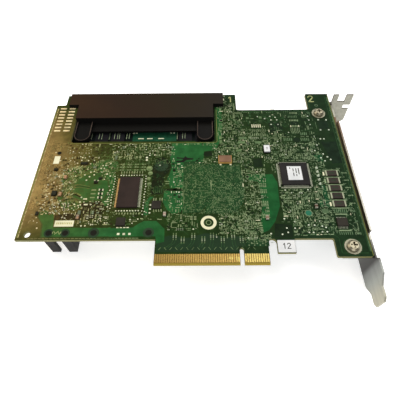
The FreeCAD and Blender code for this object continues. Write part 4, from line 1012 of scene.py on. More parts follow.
def scatter(dress):
    """Clusters, bundles of tracks and fine strokes over what is still free."""
    # weights: passives, rows of pads, dashes, printed outlines, vias, bright dots, dark gaps
    for area, tries, weights in (
            ((-98, -88, 22, 51), 600, (1, 0.2, 1.4, 0.4, 3, 5, 9)),
            ((-92, -72, 48, 63), 520, (1, 0.4, 2, 0.6, 4, 4, 8)),
            ((-88, -76, 25.6, 33), 280, (1, 1, 2, 1, 3, 6, 6)),
            ((-92, -62, 64, 72.4), 1040, (1, 1, 2, 1, 9, 3, 6)),
            ((-78, -62, 20, 34), 1840, (3, 4, 5, 3, 5, 3, 5)),
            ((-66, -30, 59.8, 72.4), 3200, (3, 5, 9, 4, 5, 1.6, 5)),
            ((-72, -44, 20, 58), 2800, (2, 2, 4, 2, 7, 5, 5)),
            ((-36, -9, 58, 72.4), 160, (0.3, 1, 2, 1, 9, 0.2, 0.5)),
            ((-46, -27, 22, 60), 3600, (3, 5, 8, 5, 5, 1.4, 5)),
            ((-36, -18, 17, 27), 600, (2, 4, 6, 3, 7, 0.2, 4)),
            ((-12, 6, 16, 27), 1840, (3, 5, 9, 4, 7, 0.3, 4)),
            ((-30, 20, 57, 72), 4400, (3, 8, 11, 7, 6, 0.2, 6)),
            ((-9, 6, 72, 97), 2000, (3, 8, 11, 7, 6, 0.3, 6)),
            ((4, 20, 72, 82), 1040, (2, 8, 9, 5, 6, 0.3, 6)),
            ((-9.4, 2, 96, 110.6), 1200, (3, 6, 8, 5, 3, 0.3, 4)),
            ((2, 15, 20, 58), 3600, (3, 9, 10, 6, 6, 0.3, 4)),
            ((17.6, 45, 58, 76), 6000, (4, 6, 10, 6, 9, 0.6, 6)),
            ((19, 45, 14, 42), 6000, (4, 6, 11, 7, 9, 1.6, 8)),
            ((19, 45, 72, 80), 360, (0.3, 2, 4, 1, 5, 0.4, 2)),
            ((4, 46, 80, 97), 160, (0.2, 1, 3, 1, 6, 0.6, 2)),
            ((43, 57, 14, 29), 480, (0.4, 3, 6, 3, 5, 0.6, 3)),
            ((-16, 14, 11.6, 22), 2480, (4, 8, 8, 6, 5, 0.8, 5)),
            ((41, 47, 28, 76), 360, (0.4, 2, 4, 2, 6, 1, 3))):
        dress.fill(area, tries, weights)
    for area, count, width in (((-100, -84, 22, 73), 180, 0.3), ((-88, -60, 24, 53), 150, 0.24),
                               ((-97, -62, 52, 73), 120, 0.2), ((-60, 20, 13, 73), 600, 0.18),
                               ((-9, 44, 57, 96), 420, 0.18), ((18, 56, 13, 97), 420, 0.18)):
        dress.bundles(area, count, width)
    light, faint = ("print", "print", "trace", "via"), ("trace", "trace", "via")
    for area, count, marks, *size in (
            ((18, 46, 14, 57), 1500, light), ((-17, 18, 57, 72), 430, light),
            ((-9, 4, 72, 110), 360, light), ((4, 20, 72, 82), 160, light),
            ((2, 15, 18, 58), 380, light), ((-46, -34, 22, 60), 200, faint),
            ((-12, 14, 15, 26), 420, light), ((-36, -12, 17, 26), 160, faint),
            ((-66, -34, 57, 72), 420, faint), ((18, 46, 57, 72), 360, light),
            ((4, 46, 72, 97), 200, faint), ((46, 57, 14, 97), 120, faint),
            ((-27, 3, 26, 57), 1000, ("trace", "via", "via")),
            ((-34, -9, 41, 72), 40, faint), ((2, 14, 9.8, 18), 220, light),
            ((-90, -44, 20, 64), 700, ("trace", "via", "gap"), (0.6, 1.8), 0.26),
            ((-100, -86, 20, 58), 240, ("gap", "via", "trace"), (0.6, 1.6), 0.36),
            ((-96, -82, 23, 52), 90, ("print", "bright"), (0.5, 0.7), 0.5),
            ((-88, -79, 35, 56), 130, ("trace", "olive", "via"), (0.8, 2), 0.3),
            ((-74, -62, 50, 60), 90, ("print", "trace", "via"), (0.6, 1.4), 0.3),
            ((46, 57, 16, 58), 420, light)):
        dress.fine(area, count, marks, *size)


def far_end(dress):
    """The end away from the bracket: terminals, label fields and parts by themselves."""
    for x in (-99.3, -94.1):
        row(dress.pad, 8, (0, 2.57), x, 81.85, 3.5, 1.05, 0.12)
    # fields for a written date and a plain label, left empty
    dress.bar(-94.7, 60.4, 3, 5.2, "bright")
    dress.bar(-82.6, 21.3, 9, 3.3, "bright")
    row(dress.bar, 9, 0.85, -86, 21.4, 0.6, 1, "print", 0, PRINT_LEVEL + 0.006)
    dress.take((-102, -91.5, 80.5, 101), (-96.4, -93, 57.4, 63.4), (-88, -77.4, 19.2, 23.2))

    # small parts that stand by themselves: x, y, size across, size up, height, body
    for part in ((-91.1, 38.5, 2.3, 2.6, 0.9, "dark"), (-79.6, 57.7, 3.4, 1.3, 0.8, "dark"),
                 (-93.6, 53.8, 1.8, 1.3, 0.7, "dark"), (-96.8, 26.9, 1.2, 1.8, 0.6, "dark"),
                 (-71.5, 45.4, 1.5, 1.5, 0.7, "dark"), (-69.6, 47.8, 1.3, 1, 0.5, "dark"),
                 (-73.6, 55, 1.5, 1.1, 0.4, "grey"), (-76.5, 27.1, 1.3, 2.3, 0.6, "grey")):
        dress.solo(*part)
    for y in (40.4, 38.1, 35.8):
        dress.passive(-68, y, 2.3, 1.1, 0.5, "dark", False)
        dress.land(-71.8, y + 0.2, 2.4, 0.7, "via")
    dress.take((-73.2, -66.6, 34.8, 41.4))
    for x, y in ((-75.2, 35.2), (-74.3, 31.9)):
        dress.pad(x, y, 1.9, 0.75)
        dress.take_round(x, y, 1.2, 0.7)
    dress.dots(((-72.3, 46.6), (-70.6, 46.5), (-71.9, 31.9), (-77.2, 36.2), (-77.4, 33.4),
                (-94.9, 18.9), (-74.4, 20), (-72.6, 20), (-96.3, 65.6), (-92.7, 59.9),
                (-69.5, 56.3), (-68, 56.3), (-70.2, 54.4), (-68.6, 54.4), (-83.3, 58),
                (-76.3, 57.6), (-81.4, 60), (-77.8, 59.8), (-78, 50.2), (-75.4, 49),
                (-73.2, 50.2), (-75.2, 52), (-76.6, 46.8)), 0.44)
    dress.disc(-94.4, 65.2, 1.15, 16, "hole")


def battery_plug_lands(dress):
    """Dark openings with plated rims, and wavy print between the smaller two."""
    for x in (-67.9, -42.5):
        dress.disc(x, PLUG_Y, 2.6, 28, "land", TRACE_LEVEL)
        dress.disc(x, PLUG_Y, 1.5, 20, "hole")
    for x in (-88.8, -81.1):
        dress.disc(x, PLUG_Y, 2.2, 18, "land")
        dress.disc(x, PLUG_Y, 1.4, 16, "hole", PRINT_LEVEL)
    for index in range(7):
        dress.bar(-86.9 + index * 0.62, 16.4 + 0.5 * math.sin(index * 2.1), 0.2, 1.1, "olive",
                  25 * math.sin(index * 1.7))


def swept_tracks(dress):
    """Broad tracks that swing over the green field, and the gaps between them."""
    for shift in range(4):
        dress.track([(-86.6 + shift * 1.1, 43), (-84.6 + shift, 46.6),
                     (-82.6 + shift * 1.6, 49.4 + shift * 0.3)], 0.3)
    for rise, wide, mark in ((0, 0.8, "edge"), (-0.9, 0.7, "gap"), (-4.4, 0.8, "edge"),
                             (-3.4, 0.6, "gap")):
        dress.track([(-86.2, 37.4 + rise), (-84.2, 38.6 + rise), (-80.2, 38.7 + rise),
                     (-77.8, 37.4 + rise)], wide, mark)
    for shift in range(3):
        dress.track([(-84.2, 43.6 - shift * 0.9), (-79.4, 44.0 - shift * 0.8),
                     (-74.2, 42.8 - shift * 0.7)], 0.3, "gap" if shift == 1 else "trace")
    for shift in range(5):
        dress.track([(-87.4 + shift * 0.5, 34.2 + shift * 0.35), (-83.2, 36.0 + shift * 0.45),
                     (-79.6, 33.4 + shift * 0.5), (-76.4, 32.4 + shift * 0.5)], 0.22, "trace",
                    TRACE_LEVEL + (1 + shift) * LAYER)
        dress.track([(-85.2 + shift * 1.3, 47.6 + shift * 0.6), (-80.6 + shift * 1.2, 50.8),
                     (-77.4 + shift * 1.5, 54.4 - shift * 0.3)], 0.24,
                    "trace" if shift % 2 else "edge", TRACE_LEVEL + (6 + shift) * LAYER)

    # dark bands over the label field and round the upright capacitor
    for outline in ([(-88, 26), (-75.4, 27.6), (-75.4, 23.2), (-88, 23.2)],
                    [(-77, 33), (-67, 34), (-64.6, 30), (-66, 24.5), (-74, 23)]):
        dress.flat(outline, TRACE_LEVEL * 0.9, "gap")


def far_edges(dress):
    """Stitched lines and ribbed tracks just inside the edges."""
    for step in range(40):
        dress.bar(LEFT + 1.35, 14.8 + step * 2.16, 0.42, 1.7, "via" if step % 3 else "print", -3)
    dress.shadow(LEFT + 0.7, 57, 0.6, 86, "edge")
    for x, wide in ((3.4, 1.5), (5.6, 1.1)):
        row(dress.ring, 22, (0, 2.1), LEFT + x, 30, wide * 0.4, wide * 0.62, "trace", 10, TRACE_LEVEL)
    row(dress.bar, 24, 1.7, -97.4, 13.3, 1.35, 0.2, "via")
    row(dress.bar, 11, 1.6, -63.6, 13.3, 1.3, 0.22)


def memory_corner(dress):
    """Round the memory chip: its via columns, and what shows outside its legs."""
    for step in range(13):
        y = 29.6 + step * 1.62
        for x in (-62.2, -46.2):
            dress.bead(x + dress.uniform(-0.2, 0.2), y, 0.34, 0.1)
        for x in (-60.9, -47.6, -44.6):
            dress.via(x, y + 0.7, 0.28)
    row(dress.bead, 9, 1.35, -59.2, 28.2, 0.38, 0.1)
    row(dress.bead, 9, 1.35, -59.2, 49.7, 0.34, 0.1)
    row(dress.bar, 9, 1.35, -59.2, 51.6, 0.3, 1.5)
    row(dress.bar, 9, 1.35, -58.7, 26.6, 0.4, 1)
    left, right, low, high, *_ = span("flash_leads")
    # lands in the legs' material, so the near row carries the same painted warm reflection
    for x in (left, right):
        row(dress.land, 22, (0, (high - low - 0.4) / 21), x, low + 0.2, 0.7, 0.6, "flash_lead")
    for y in (53.2, 55.1, 57):
        for step in range(12):
            dress.land(-61.2 + step * 1.25, y, 1, 0.8, "via" if step % 3 else "trace")
    dress.take((-62.8, -60.2, 29, 51), (-48.2, -44, 29, 46), (-62.4, -46.6, 49, 58),
               (-60, -48, 26, 29))
    dress.dots(((-47, 61.6), (-46.9, 59.9)), 0.62)


def empty_footprint(dress):
    """A dark round field, the narrower one below it and its upright pads."""
    dress.flat([(-42.4, 60.6), (-38.6, 62), (-35, 60), (-33.9, 55.6), (-34.8, 51.4), (-37.2, 49),
                (-37.2, 37.6), (-43.4, 37.6), (-43.2, 48.6), (-43.4, 54)], TRACE_LEVEL, "gap")
    dress.disc(-38.9, 55.6, 3.4, 24, "land", TRACE_LEVEL + LAYER / 2)
    mottling = ("land", "gap", "land", "hole")
    for index in range(60):
        around, away = dress.uniform(0, 6.28), 4.2 * dress.chance() ** 0.6
        x, y = -38.8 + away * math.cos(around), 55.4 + 1.15 * away * math.sin(around)
        dress.bar(x, y, dress.uniform(0.3, 0.8), dress.uniform(0.25, 0.6),
                  mottling[index % 4], dress.uniform(0, 180),
                  TRACE_LEVEL + (1 + index % 9) * LAYER)
    dress.dots(((-39.7, 56.2),), 0.34)
    row(dress.land, 5, 1, -41.8, 40.2, 0.3, 3.4, "trace")
    for x, y, radius in ((-45, 54.2, 1.7), (-44.3, 51, 1.3), (-44.9, 47.6, 1.1),
                         (-44.3, 44.2, 1.1)):
        dress.disc(x, y, radius, 9, "via")
        dress.bar(x, y + radius * 0.3, radius, 0.3)
        dress.bar(x, y - radius * 0.4, radius, 0.3, "trace")
    row(dress.land, 2, (0, 1.4), -35.2, 44.2, 2, 0.6, "via")
    dress.take((-48.2, -33.6, 37.4, 62))


def flat_package_lands(dress):
    """Legs, pads and loose dots of the two flat packages."""
    for x in (-41.4, -40.3, -38.4, -37.3):
        dress.bar(x, 34.7, 0.45, 1.6)
    row(dress.bar, 4, 1.2, -41, 28.2, 0.4, 1.5, "print", 12)
    dress.dots(((-42.8, 31.4), (-42.8, 29.1), (-42.9, 26.9)), 0.46)
    dress.dots(((-97.4, 22.8), (-95.6, 21.9), (-96.6, 24.6)), 0.3)
    row(dress.bar, 4, 1.6, -57.2, 18.9, 1.1, 0.5, "bright")
    row(dress.pad, 3, 2.6, -56.4, 15.5, 1.15, 1.05, 0.08)
    dress.take((-43.6, -34.6, 24, 36.4), (-58.6, -52.6, 18, 25.2))


def processor_field(dress):
    """Breakout vias beneath the processor, uneven as they are where tracks leave them."""
    for column in range(34):
        for place in range(34):
            x = -27 + column * 0.86 + dress.uniform(-0.2, 0.2)
            y = 25.6 + place * 0.94 + dress.uniform(-0.2, 0.2)
            pick = dress.chance()
            if pick < 0.36 or not dress.grid.free(x, x, y, y):
                continue
            if pick < 0.8:
                dress.disc(x, y, dress.choice((0.18, 0.24, 0.3)), 8,
                           "trace" if pick < 0.62 else "via")
            else:
                dress.bar(x, y, dress.choice((0.5, 0.9, 1.3)), 0.2, "via",
                          dress.choice((0, 45, 90, 135)), TRACE_LEVEL)
    for column in range(16):
        for place in range(20):
            if dress.chance() < 0.4:
                dress.disc(-13 + column + (place % 2) * 0.5, 24.6 + place, 0.2, 6, "print",
                           PRINT_LEVEL)
    dress.bar(-13.2, 43.2, 0.36, 6.2)
    for stroke in ((-19, 39.6, 8, 0.24), (-8, 41.6, 5.4, 0.34), (-26.8, 36, 0.3, 8),
                   (-14.6, 38.6, 3.4, 0.3)):
        dress.bar(*stroke, "via")
    dress.shadow(-32, 40.4, 9.6, 1.1)

    # a torn opening in the copper over the processor, and a plain one beside it
    dress.flat([(-31.2, 61.6), (-27.4, 61.2), (-26.6, 62.4), (-25.4, 61.2), (-22.2, 60.8),
                (-22.4, 60), (-26, 59.6), (-27.4, 58.2), (-31.4, 58.2), (-31.2, 59),
                (-28.4, 59.4), (-27.6, 60.4), (-31, 60.8)], PAD_LEVEL, "hole")
    dress.flat([(-16.4, 65.4), (-12.8, 65.8), (-12, 62.6), (-15.4, 61.6), (-17, 63.2)], PAD_LEVEL,
               "gap")
    dress.take((-27, 2.2, 25.6, 57.4), (-32, -22, 57.8, 62.6))


def foot(dress):
    """Above the contacts: coupling capacitors, their tracks, and the plain printed ring."""
    dress.ring(RING_X, RING_Y, 2.35, 3.75, "bright", 40, PRINT_LEVEL)
    dress.ring(RING_X, RING_Y, 1, 1.3, "print", 24, PRINT_LEVEL)
    for index, x in enumerate((-30.3, -26.6, -21.8, -17.2, -13.2, -8.4, -3.6, 0.2)):
        y = 13.9 if index % 2 == 0 else 12.1
        lean = -3.4 + 0.62 * (x + 30) / 4
        for lane in (x - 0.62, x + 0.62):
            dress.passive(lane, y, 1.3, 0.5, 0.3, "grey", True)
            dress.bar(lane, y + 1.5, 0.42, 0.9, "via")
            dress.bar(lane, y - 1.3, 0.36, 0.7, "via")
            dress.track([(lane, y - 1.5), (lane + lean * 0.2, 10.6), (lane + lean, 8.4)], 0.16)
        dress.take((x - 1.5, x + 1.5, 10.2, 16.4))
    for step in range(18):
        dress.land(-36.9 + step * 2.5, 7.9, 0.22, 1.6, "via", 38 if step % 2 else -38)
    for step in range(7):
        dress.bar(3.4 + step * 1.25, 9.4 + 0.8 * (step % 2), 0.5, 0.5)
    dress.take((-38.6, 13, 7, 11.6))


def bracket_joints(dress):
    """Between the bay and the bracket: the soldered pins and bright dots."""
    row(dress.joint, 5, (0, -2.56), 41.5, 53.6, 0.7)
    for x, y in ((48.7, 88.8), (53.2, 88.7), (48.6, 80.8), (53.2, 80.8), (47.3, 74), (49.2, 74),
                 (46.7, 63.1), (45.1, 60.4), (48.6, 61), (46.8, 58.3), (50, 59.2)):
        dress.joint(x, y, 0.5)
        dress.take_round(x, y, 0.8)
    dress.dots(((43.2, 91.9), (43.4, 88.8), (43.6, 85.2), (44.6, 69.6), (42.8, 65.6),
                (21.8, 89.1), (25.1, 89.1), (21.5, 85.5), (25.4, 85.4), (24.4, 91.2), (21.4, 92),
                (13.9, 15.2), (19.1, 14.8), (21.8, 15.8), (21.5, 18.1), (31.5, 15.7), (33.5, 15.7),
                (37.6, 16), (39.8, 16), (38.1, 19), (39.7, 18.3), (31.9, 19.7)), 0.42)
    # the outline near the upper screw with its dark middle
    dress.shadow(50.8, 84.7, 5.4, 6.4)
    dress.bar(46.7, 84.7, 0.22, 5.6, "via")
    dress.take((40.4, 42.6, 42.4, 54.8))


def logic_lands(dress):
    """Lands that show outside the logic chip's legs."""
    left, right, low, high, *_ = span("logic_leads")
    for step in range(30):
        share = 0.05 + 0.9 * step / 29
        for x in (left, right):
            dress.land(x, low + (high - low) * share, 0.8, 0.34, "lead")
        for y in (low, high):
            dress.land(left + (right - left) * share, y, 0.34, 0.8, "lead")


def combs(dress):
    """A small outline with comb pads over and under it, its fan of tracks, and combs beside it."""
    for step in range(6):
        x = 32.4 + step * 0.9
        dress.land(x, 88.6, 0.5, 1.3)
        dress.land(x, 84, 0.5, 1.3, "bright" if step in (0, 5) else "print")
        dress.track([(x, 82.8), (x - 0.3, 80.4), (x + 0.2, 78.4)], 0.24, "print", PAD_LEVEL)
        dress.bar(x - 0.3, 91.6, 0.4, 1.6, "via", -6)
    dress.shadow(34.8, 86.3, 4.2, 2.6)
    row(dress.bar, 5, 1.15, 10.6, 84.4, 0.5, 2.4, "bright")
    row(dress.bar, 2, 1.15, 16.35, 83.8, 0.5, 0.8)
    row(dress.land, 7, 1.15, 10.4, 77.6, 0.45, 1.9)
    row(dress.bar, 7, 1.15, 10.7, 80.6, 0.28, 2.2, "print", -8)
    for left, y, count in ((27.4, 73.8, 5), (36.7, 73.8, 5), (37.2, 78, 4)):
        for step in range(count):
            dress.land(left + step, y, 0.55, 2.3 - 0.5 * (step % 2), "via")
        dress.take((left - 0.6, left + count, y - 1.4, y + 1.4))
    dress.disc(34.2, 73.4, 1.9, 7, "gap")
    dress.take((31, 38.2, 77.4, 93), (9.6, 19, 76, 86.4), (32.2, 36.2, 71.4, 75.4))
    # green comb blocks on the long strip of copper
    for y, rows in ((43.6, 3), (39.9, 3), (33, 4), (25.6, 3)):
        for step in range(rows):
            row(dress.land, 4, 0.95, 11.2, y - step * 0.85, 0.6, 0.5)
        dress.take((10.6, 14.8, y - 3, y + 0.6))


def plain_areas(dress):
    """Broad dull pads, as x, y, across, up, and dark plain gaps."""
    for x, y, wide, deep in ((4.8, 75.2, 4, 1.7), (3.9, 71.9, 3.8, 1.7), (12.8, 71.8, 3.2, 1.7),
                             (2, 66, 3, 1.4), (8.4, 90.8, 1.6, 1.6), (15.8, 91.2, 1.6, 1.6),
                             (41, 27.2, 2.8, 2.4), (-7.2, 80.6, 1, 2), (-7.6, 75.6, 1.4, 2.4),
                             (-7.4, 72.6, 1.4, 2.2)):
        dress.land(x, y, wide, deep, "via")
        dress.take_round(x, y, wide / 2, deep / 2)
    for outline in ([(9.2, 60.2), (13.6, 60.6), (14, 54.6), (9.4, 54.4)],
                    [(47, 72), (56, 72), (56.4, 57), (50.6, 56.6)],
                    [(16.2, 20.6), (24, 19.8), (23.8, 13), (15.4, 13.2)],
                    [(20, 88), (28, 88), (27.4, 80), (20.6, 79)]):
        dress.flat(outline, TRACE_LEVEL * 0.9, "gap")


def driver_corner(dress):
    """Pads and outlines round the driver, its neighbours and the oscillator."""
    row(dress.bar, 7, 0.95, 45.4, 27.2, 0.4, 2.2, "via")
    row(dress.bar, 7, 0.95, 45.4, 15.2, 0.4, 1.6, "via")
    for y in (25.4, 16.6):
        dress.bar(48.2, y, 5.6, 0.6)
    for y in (27, 15.2, 21.4):
        dress.bar(54.5, y, 1.4, 1, "via")
    dress.ring(32.9, 26.2, 1.7, 2, "print", 6, PRINT_LEVEL)
    dress.disc(32.9, 26.2, 1.6, 6, "teal")
    for x in (-8, -2.8):
        dress.bar(x, 56.6, 1, 1.4, "bright")
    dress.take((44.4, 52.4, 13.8, 28.6), (30.6, 35, 23.6, 29), (35, 39.4, 28.4, 31.6),
               (-9, -2, 55.4, 57.6))


def resistor_frames(dress):
    """Frames round the sense resistors, and their sense tracks."""
    row(dress.bar, RESISTORS + 1, (0, -RESISTOR_PITCH), 48.6, 52.1, 8.6, 0.5)
    for step in range(RESISTORS):
        y = RESISTOR_LOW + step * RESISTOR_PITCH
        dress.bar(44.4, y, 0.8, *((2.9, "print") if step % 4 else (2.2, "bright")))
        dress.bar(54.6, y + 0.4, 1.6, 0.4)
        dress.via(56, y + 0.4, 0.4, "print")
    dress.take((43.2, 55.4, 28.8, 53))


def edge_lines(dress):
    """Lines that follow the board's edges and the bay, and numerals on the two upper tabs."""
    edge = RIGHT - 1.3
    dress.track([(RIGHT - 0.25, 4), (RIGHT - 0.25, 110)], 0.4, "edge")
    dress.track([(edge + 0.55, 6), (edge + 0.55, 108)], 0.3, "via")
    for points in ([(edge, 6), (edge, 108)], [(edge - 0.9, 14), (edge - 0.9, 108)],
                   [(45.6, 109), (45.6, 98.4)], [(4, 96.2), (43.8, 96.2)],
                   [(26, 14.6), (42.4, 14.6), (44.4, 12.8), (44.4, 5.2), (56, 5.2)]):
        dress.track(points, 0.4)
    for step in range(58):
        dress.bar(edge, 20 + step * 1.5, 0.26, 0.7, "trace" if step % 3 else "via")
    dress.track([(-91.4, 73), (-90.6, 72), (-10.2, 72), (-9.4, 73), (-9.4, 98)], 0.35, "edge")
    dress.numeral(1, -1.9, 104.6, 4.6, "olive")
    dress.numeral(2, 46, 104.2, 5, "olive")
    dress.take((-2.4, 1.6, 104, 110))


def screw_side(dress):
    """Lands round the screws, and the small bare openings."""
    for x, y, radius in ((-6.7, 89, 0.8), (5.4, 48.2, 0.7), (49.7, 101, 0.6)):
        dress.ring(x, y, radius, radius + 0.4, "via", 16)
        dress.disc(x, y, radius, 14, "hole")
        dress.take_round(x, y, radius + 0.6)
    for y, land in ((UPPER_SCREW, 3.1), (LOWER_SCREW, 4)):
        dress.ring(SCREW_X, y, land, land + 0.4, "trace", 32)


def part_tops(dress):
    """Numerals on the hook's label, and bars in place of written marks on the other parts."""
    left, right, low, high, _, top = span("hook_label")
    for digit, share in ((1, 0.3), (2, 0.55)):
        dress.numeral(digit, left + (right - left) * share, low + (high - low) * 0.3, 2.6, "hole",
                      top + INK)
    left, right, low, high, _, top = span("logic_sticker")
    for across, up, tall in ((0.2, 0.86, 0.10), (0.42, 0.72, 0.22), (0.42, 0.40, 0.26),
                             (0.62, 0.66, 0.34), (0.62, 0.34, 0.14), (0.8, 0.62, 0.44)):
        dress.bar(left + (right - left) * across, low + (high - low) * up, 0.45,
                  (high - low) * tall, "hole", 0, top + INK)
    left, right, low, high, _, top = span("backup_switch")
    for shift in (-0.5, 0.5):
        dress.bar((left + right) / 2, (low + high) / 2 + shift, 1.1, 0.3, "hole", 0, top + INK)
    left, right, _, _, _, top = span("sense_resistors")
    row(dress.bar, RESISTORS, (0, RESISTOR_PITCH), (left + right) / 2, RESISTOR_LOW, 2.6, 0.5, "land",
        0, top + INK)


def module_and_handle():
    """What shows inside the bay: rims of the handle's lobes, drawn lighter as a painted highlight, and
    small parts of the module.
    """
    rims = Heap("lobe_rims", "socket_black")
    for middle in LOBE_MIDDLES:
        arc = [(middle + LOBE_RADIUS * math.cos(math.pi + math.pi * step / 16),
                LOBE_CENTRE + LOBE_RADIUS * math.sin(math.pi + math.pi * step / 16))
               for step in range(17)]
        ends = [(middle + side * LOBE_RADIUS, LOBE_TOP) for side in (-1, 1)]
        rims.line([ends[0], *arc, ends[1]], RIM_WIDTH, RIM_LEVEL, "rim")
    rims.done()
    parts = Heap("module_parts", "tinned")
    top = span("memory_board")[-1]
    # places along the module, place up the board, width, depth, thickness, mark
    for places, y, wide, deep, tall, mark in (
            ((-52.6, -47.5, -41.1), 79.9, 3.2, 0.6, 0.2, "tin"),
            ((-70.8, -62.2, -31.9, -24.3), 82, 0.4, 5.4, 0.3, "dull"),
            ((-57, -55.4, -35.6, -33.8), 84.2, 0.9, 0.7, 0.3, "tin")):
        for x in places:
            parts.prism(turned_box(x, y, wide, deep), top, top + tall, mark)
    _, _, chip_low, chip_high, _, chip_top = span("memory_chips")
    for x in (-80.6, -76.4, -74.8, -67.6, -65.9, -64.8, -60.6, -59.2, -28.8, -27.4, -20.4, -19.2):
        parts.flat(turned_box(x, (chip_low + chip_high) / 2, 0.3, 4.5), chip_top + INK, "dull")
    parts.done()


# ------------------------------------------------------------------ component side

def component_side():
    """The face that looks down: outlines round the large parts, small parts, tracks and vias."""
    dress = Dressing("component_side", UNDER, -1, 23)
    for name in ("heatsink", "memory_socket", "port_cage_1", "port_cage_2", "battery_plug",
                 "alarm_buzzer", "edge_clip", "header_strip", "capacitor_bases", "power_chokes",
                 "power_transistors"):
        for left, right, low, high in footprints(name):
            dress.take((left - 0.9, right + 0.9, low - 0.9, high + 0.9))
            left, right, low, high = left - 0.6, right + 0.6, low - 0.6, high + 0.6
            dress.track([(left, low), (right, low), (right, high), (left, high), (left, low)], 0.2,
                        "bright", PRINT_LEVEL)
            dress.bar(left + 0.9, high + 0.5, 1.2, 0.3, "bright")
    dress.take(*CUTS, (-90.6, -10.2, 72.4, 112), (-106, -98.4, 100.4, 112), (43.8, 58, 88.6, 99),
               (43.8, 58, 2, 13.6), (-106, -100.6, 12, 104), (-101, -96, 13, 18.4),
               (55.6, 58, 12, 112))

    # coupling capacitors over the contacts, decoupling rows round the heat sink
    for pair in range(12):
        x = -36.4 + pair * 4.05
        for side in (-0.6, 0.6):
            dress.passive(x + side, 13.6, 1.5, 0.6, 0.35, "brown", True)
            dress.track([(x + side, 12.6), (x + side, 10.4), (x + side * 1.8, 9.4),
                         (x + side * 1.8, 5.4)], 0.2, "via")
        dress.take((x - 1.5, x + 1.5, 10, 15))
    left, right, low, high, *_ = span("heatsink")
    for y in (low - 2.4, high + 2.4):
        row(dress.passive, 16, 2.65, left + 2, y, 2, 1.25, 0.8, "brown", True)
    row(dress.passive, 12, (0, 3.1), left - 2.6, low + 3, 2, 1.25, 0.8, "brown", False)
    dress.take((left, right, low - 4, high + 4), (left - 4.2, left, low, high))
    # reservoir parts of the converter: broad pads under the chokes and between the transistors
    for x in (18, 28, 38):
        for side in (-1, 1):
            dress.land(x + side * 3.4, 68, 1.6, 7.4, "via")
        dress.passive(x, 61.6, 3.2, 2.5, 1.4, "brown", False)
        dress.take((x - 2.4, x + 2.4, 59.8, 63.4))
    for y in (52, 44):
        dress.passive(24.2, y, 3.2, 1.6, 1, "grey", True)
        dress.take((23, 25.4, y - 2, y + 2))

    for outline in ([(12, 74.4), (44, 74.4), (44, 60), (34, 58.4), (34, 36), (12, 38)],
                    [(-70, 24), (-40, 24), (-38, 14), (-76, 14)],
                    [(-98, 70), (-90, 70), (-88, 30), (-94, 24), (-98, 30)]):
        dress.flat(outline, POUR_LEVEL, "trace")
    for area, tries, weights in (((-100, -38, 14, 62), 5200, (4, 5, 8, 5, 9, 0.6, 4)),
                                 ((-40, 16, 15, 24), 500, (4, 6, 8, 5, 8, 0.4, 3)),
                                 ((8, 56, 14, 78), 3400, (4, 5, 8, 5, 9, 0.5, 3)),
                                 ((-9, 2, 62, 110), 500, (3, 4, 6, 4, 6, 0.4, 3)),
                                 ((-98, 10, 62, 72), 500, (3, 5, 7, 4, 7, 0.4, 3))):
        dress.fill(area, tries, weights)
    for area, count in (((-98, -36, 14, 62), 700), ((8, 56, 14, 78), 420), ((-38, 12, 9, 22), 160)):
        dress.bundles(area, count, 0.2)
    dress.done()


def footprints(name):
    """The separate solids of a node, seen from above: left, right, low, high of each."""
    mesh = NODES[name].data
    parent = list(range(len(mesh.vertices)))

    def root(index):
        while parent[index] != index:
            parent[index] = parent[parent[index]]
            index = parent[index]
        return index

    for edge in mesh.edges:
        first, second = (root(vertex) for vertex in edge.vertices)
        parent[first] = second
    boxes = {}
    for vertex in mesh.vertices:
        x, y, _ = (vertex.co - DATUM) / MM
        found = boxes.setdefault(root(vertex.index), [x, x, y, y])
        boxes[root(vertex.index)] = [min(found[0], x), max(found[1], x),
                                     min(found[2], y), max(found[3], y)]
    return sorted(boxes.values())


# ------------------------------------------------------------------ floor, light and camera

FLOOR_REACH = 3.0
WHITE = (1.0, 1.0, 1.0)
FLOOR_GLOW, WORLD_GLOW = 0.55, 0.28
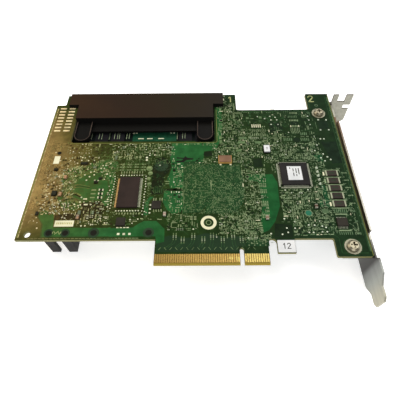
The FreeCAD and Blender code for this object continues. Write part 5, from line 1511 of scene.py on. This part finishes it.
# Area lights in metres and watts, all aimed at the origin: place, size, power, colour.
LIGHTS = {
    "key": ((0.25, 0.45, 0.75), 0.7, 5.0, (1.0, 0.98, 0.94)),
    "fill": ((-0.60, 0.20, 0.50), 0.6, 2.6, (1.0, 0.90, 0.74)),
    "front": ((0.05, -0.75, 0.55), 0.6, 2.8, WHITE),
}
# The standard view, in metres and degrees: from the contacts' side, 32 degrees off straight down.
EYE_PLACE, EYE_TURNS = (0.0, -0.1085, 0.1565), (32.31, 0.51, -0.15)
EYE_LENS, EYE_SENSOR, EYE_SHIFT, EYE_NEAR = 31.15, 36.0, (-0.0065, 0.027), 0.01


def set_floor():
    floor = bpy.data.meshes.new("floor")
    corners = [(x * FLOOR_REACH, y * FLOOR_REACH, 0) for x, y in ((-1, -1), (1, -1), (1, 1), (-1, 1))]
    floor.from_pydata(corners, [], [(0, 1, 2, 3)])
    shade = Shade("floor_white", Roughness=0.9, Emission_Color=(*WHITE, OPAQUE),
                  Emission_Strength=FLOOR_GLOW)
    shade.colour(shade.blend(shade.noise(3.0, 2.0), (0.95, 0.95, 0.95), (0.97, 0.97, 0.97)))
    floor.materials.append(shade.material)
    piece = put("floor", floor)


def set_lights():
    world = bpy.data.worlds.new("studio")
    world.use_nodes = True
    sky = world.node_tree.nodes["Background"]
    sky.inputs[0].default_value = (*WHITE, OPAQUE)
    sky.inputs[1].default_value = WORLD_GLOW
    bpy.context.scene.world = world
    bpy.context.scene.view_settings.view_transform = "Standard"
    for name, (place, size, power, colour) in LIGHTS.items():
        lamp = bpy.data.lights.new(name, "AREA")
        lamp.size, lamp.energy, lamp.color = size, power, colour
        holder = put(name, lamp)
        holder.location = place
        holder.rotation_euler = (-Vector(place)).to_track_quat("-Z", "Y").to_euler()


def set_camera():
    eye = bpy.data.cameras.new("eye")
    eye.lens, eye.sensor_width, eye.clip_start = EYE_LENS, EYE_SENSOR, EYE_NEAR
    eye.shift_x, eye.shift_y = EYE_SHIFT
    holder = put("eye", eye)
    holder.location = EYE_PLACE
    holder.rotation_euler = [math.radians(turn) for turn in EYE_TURNS]
    bpy.context.scene.camera = holder


copper_fields()
solder_side()
module_and_handle()
component_side()
set_floor()
set_lights()
set_camera()
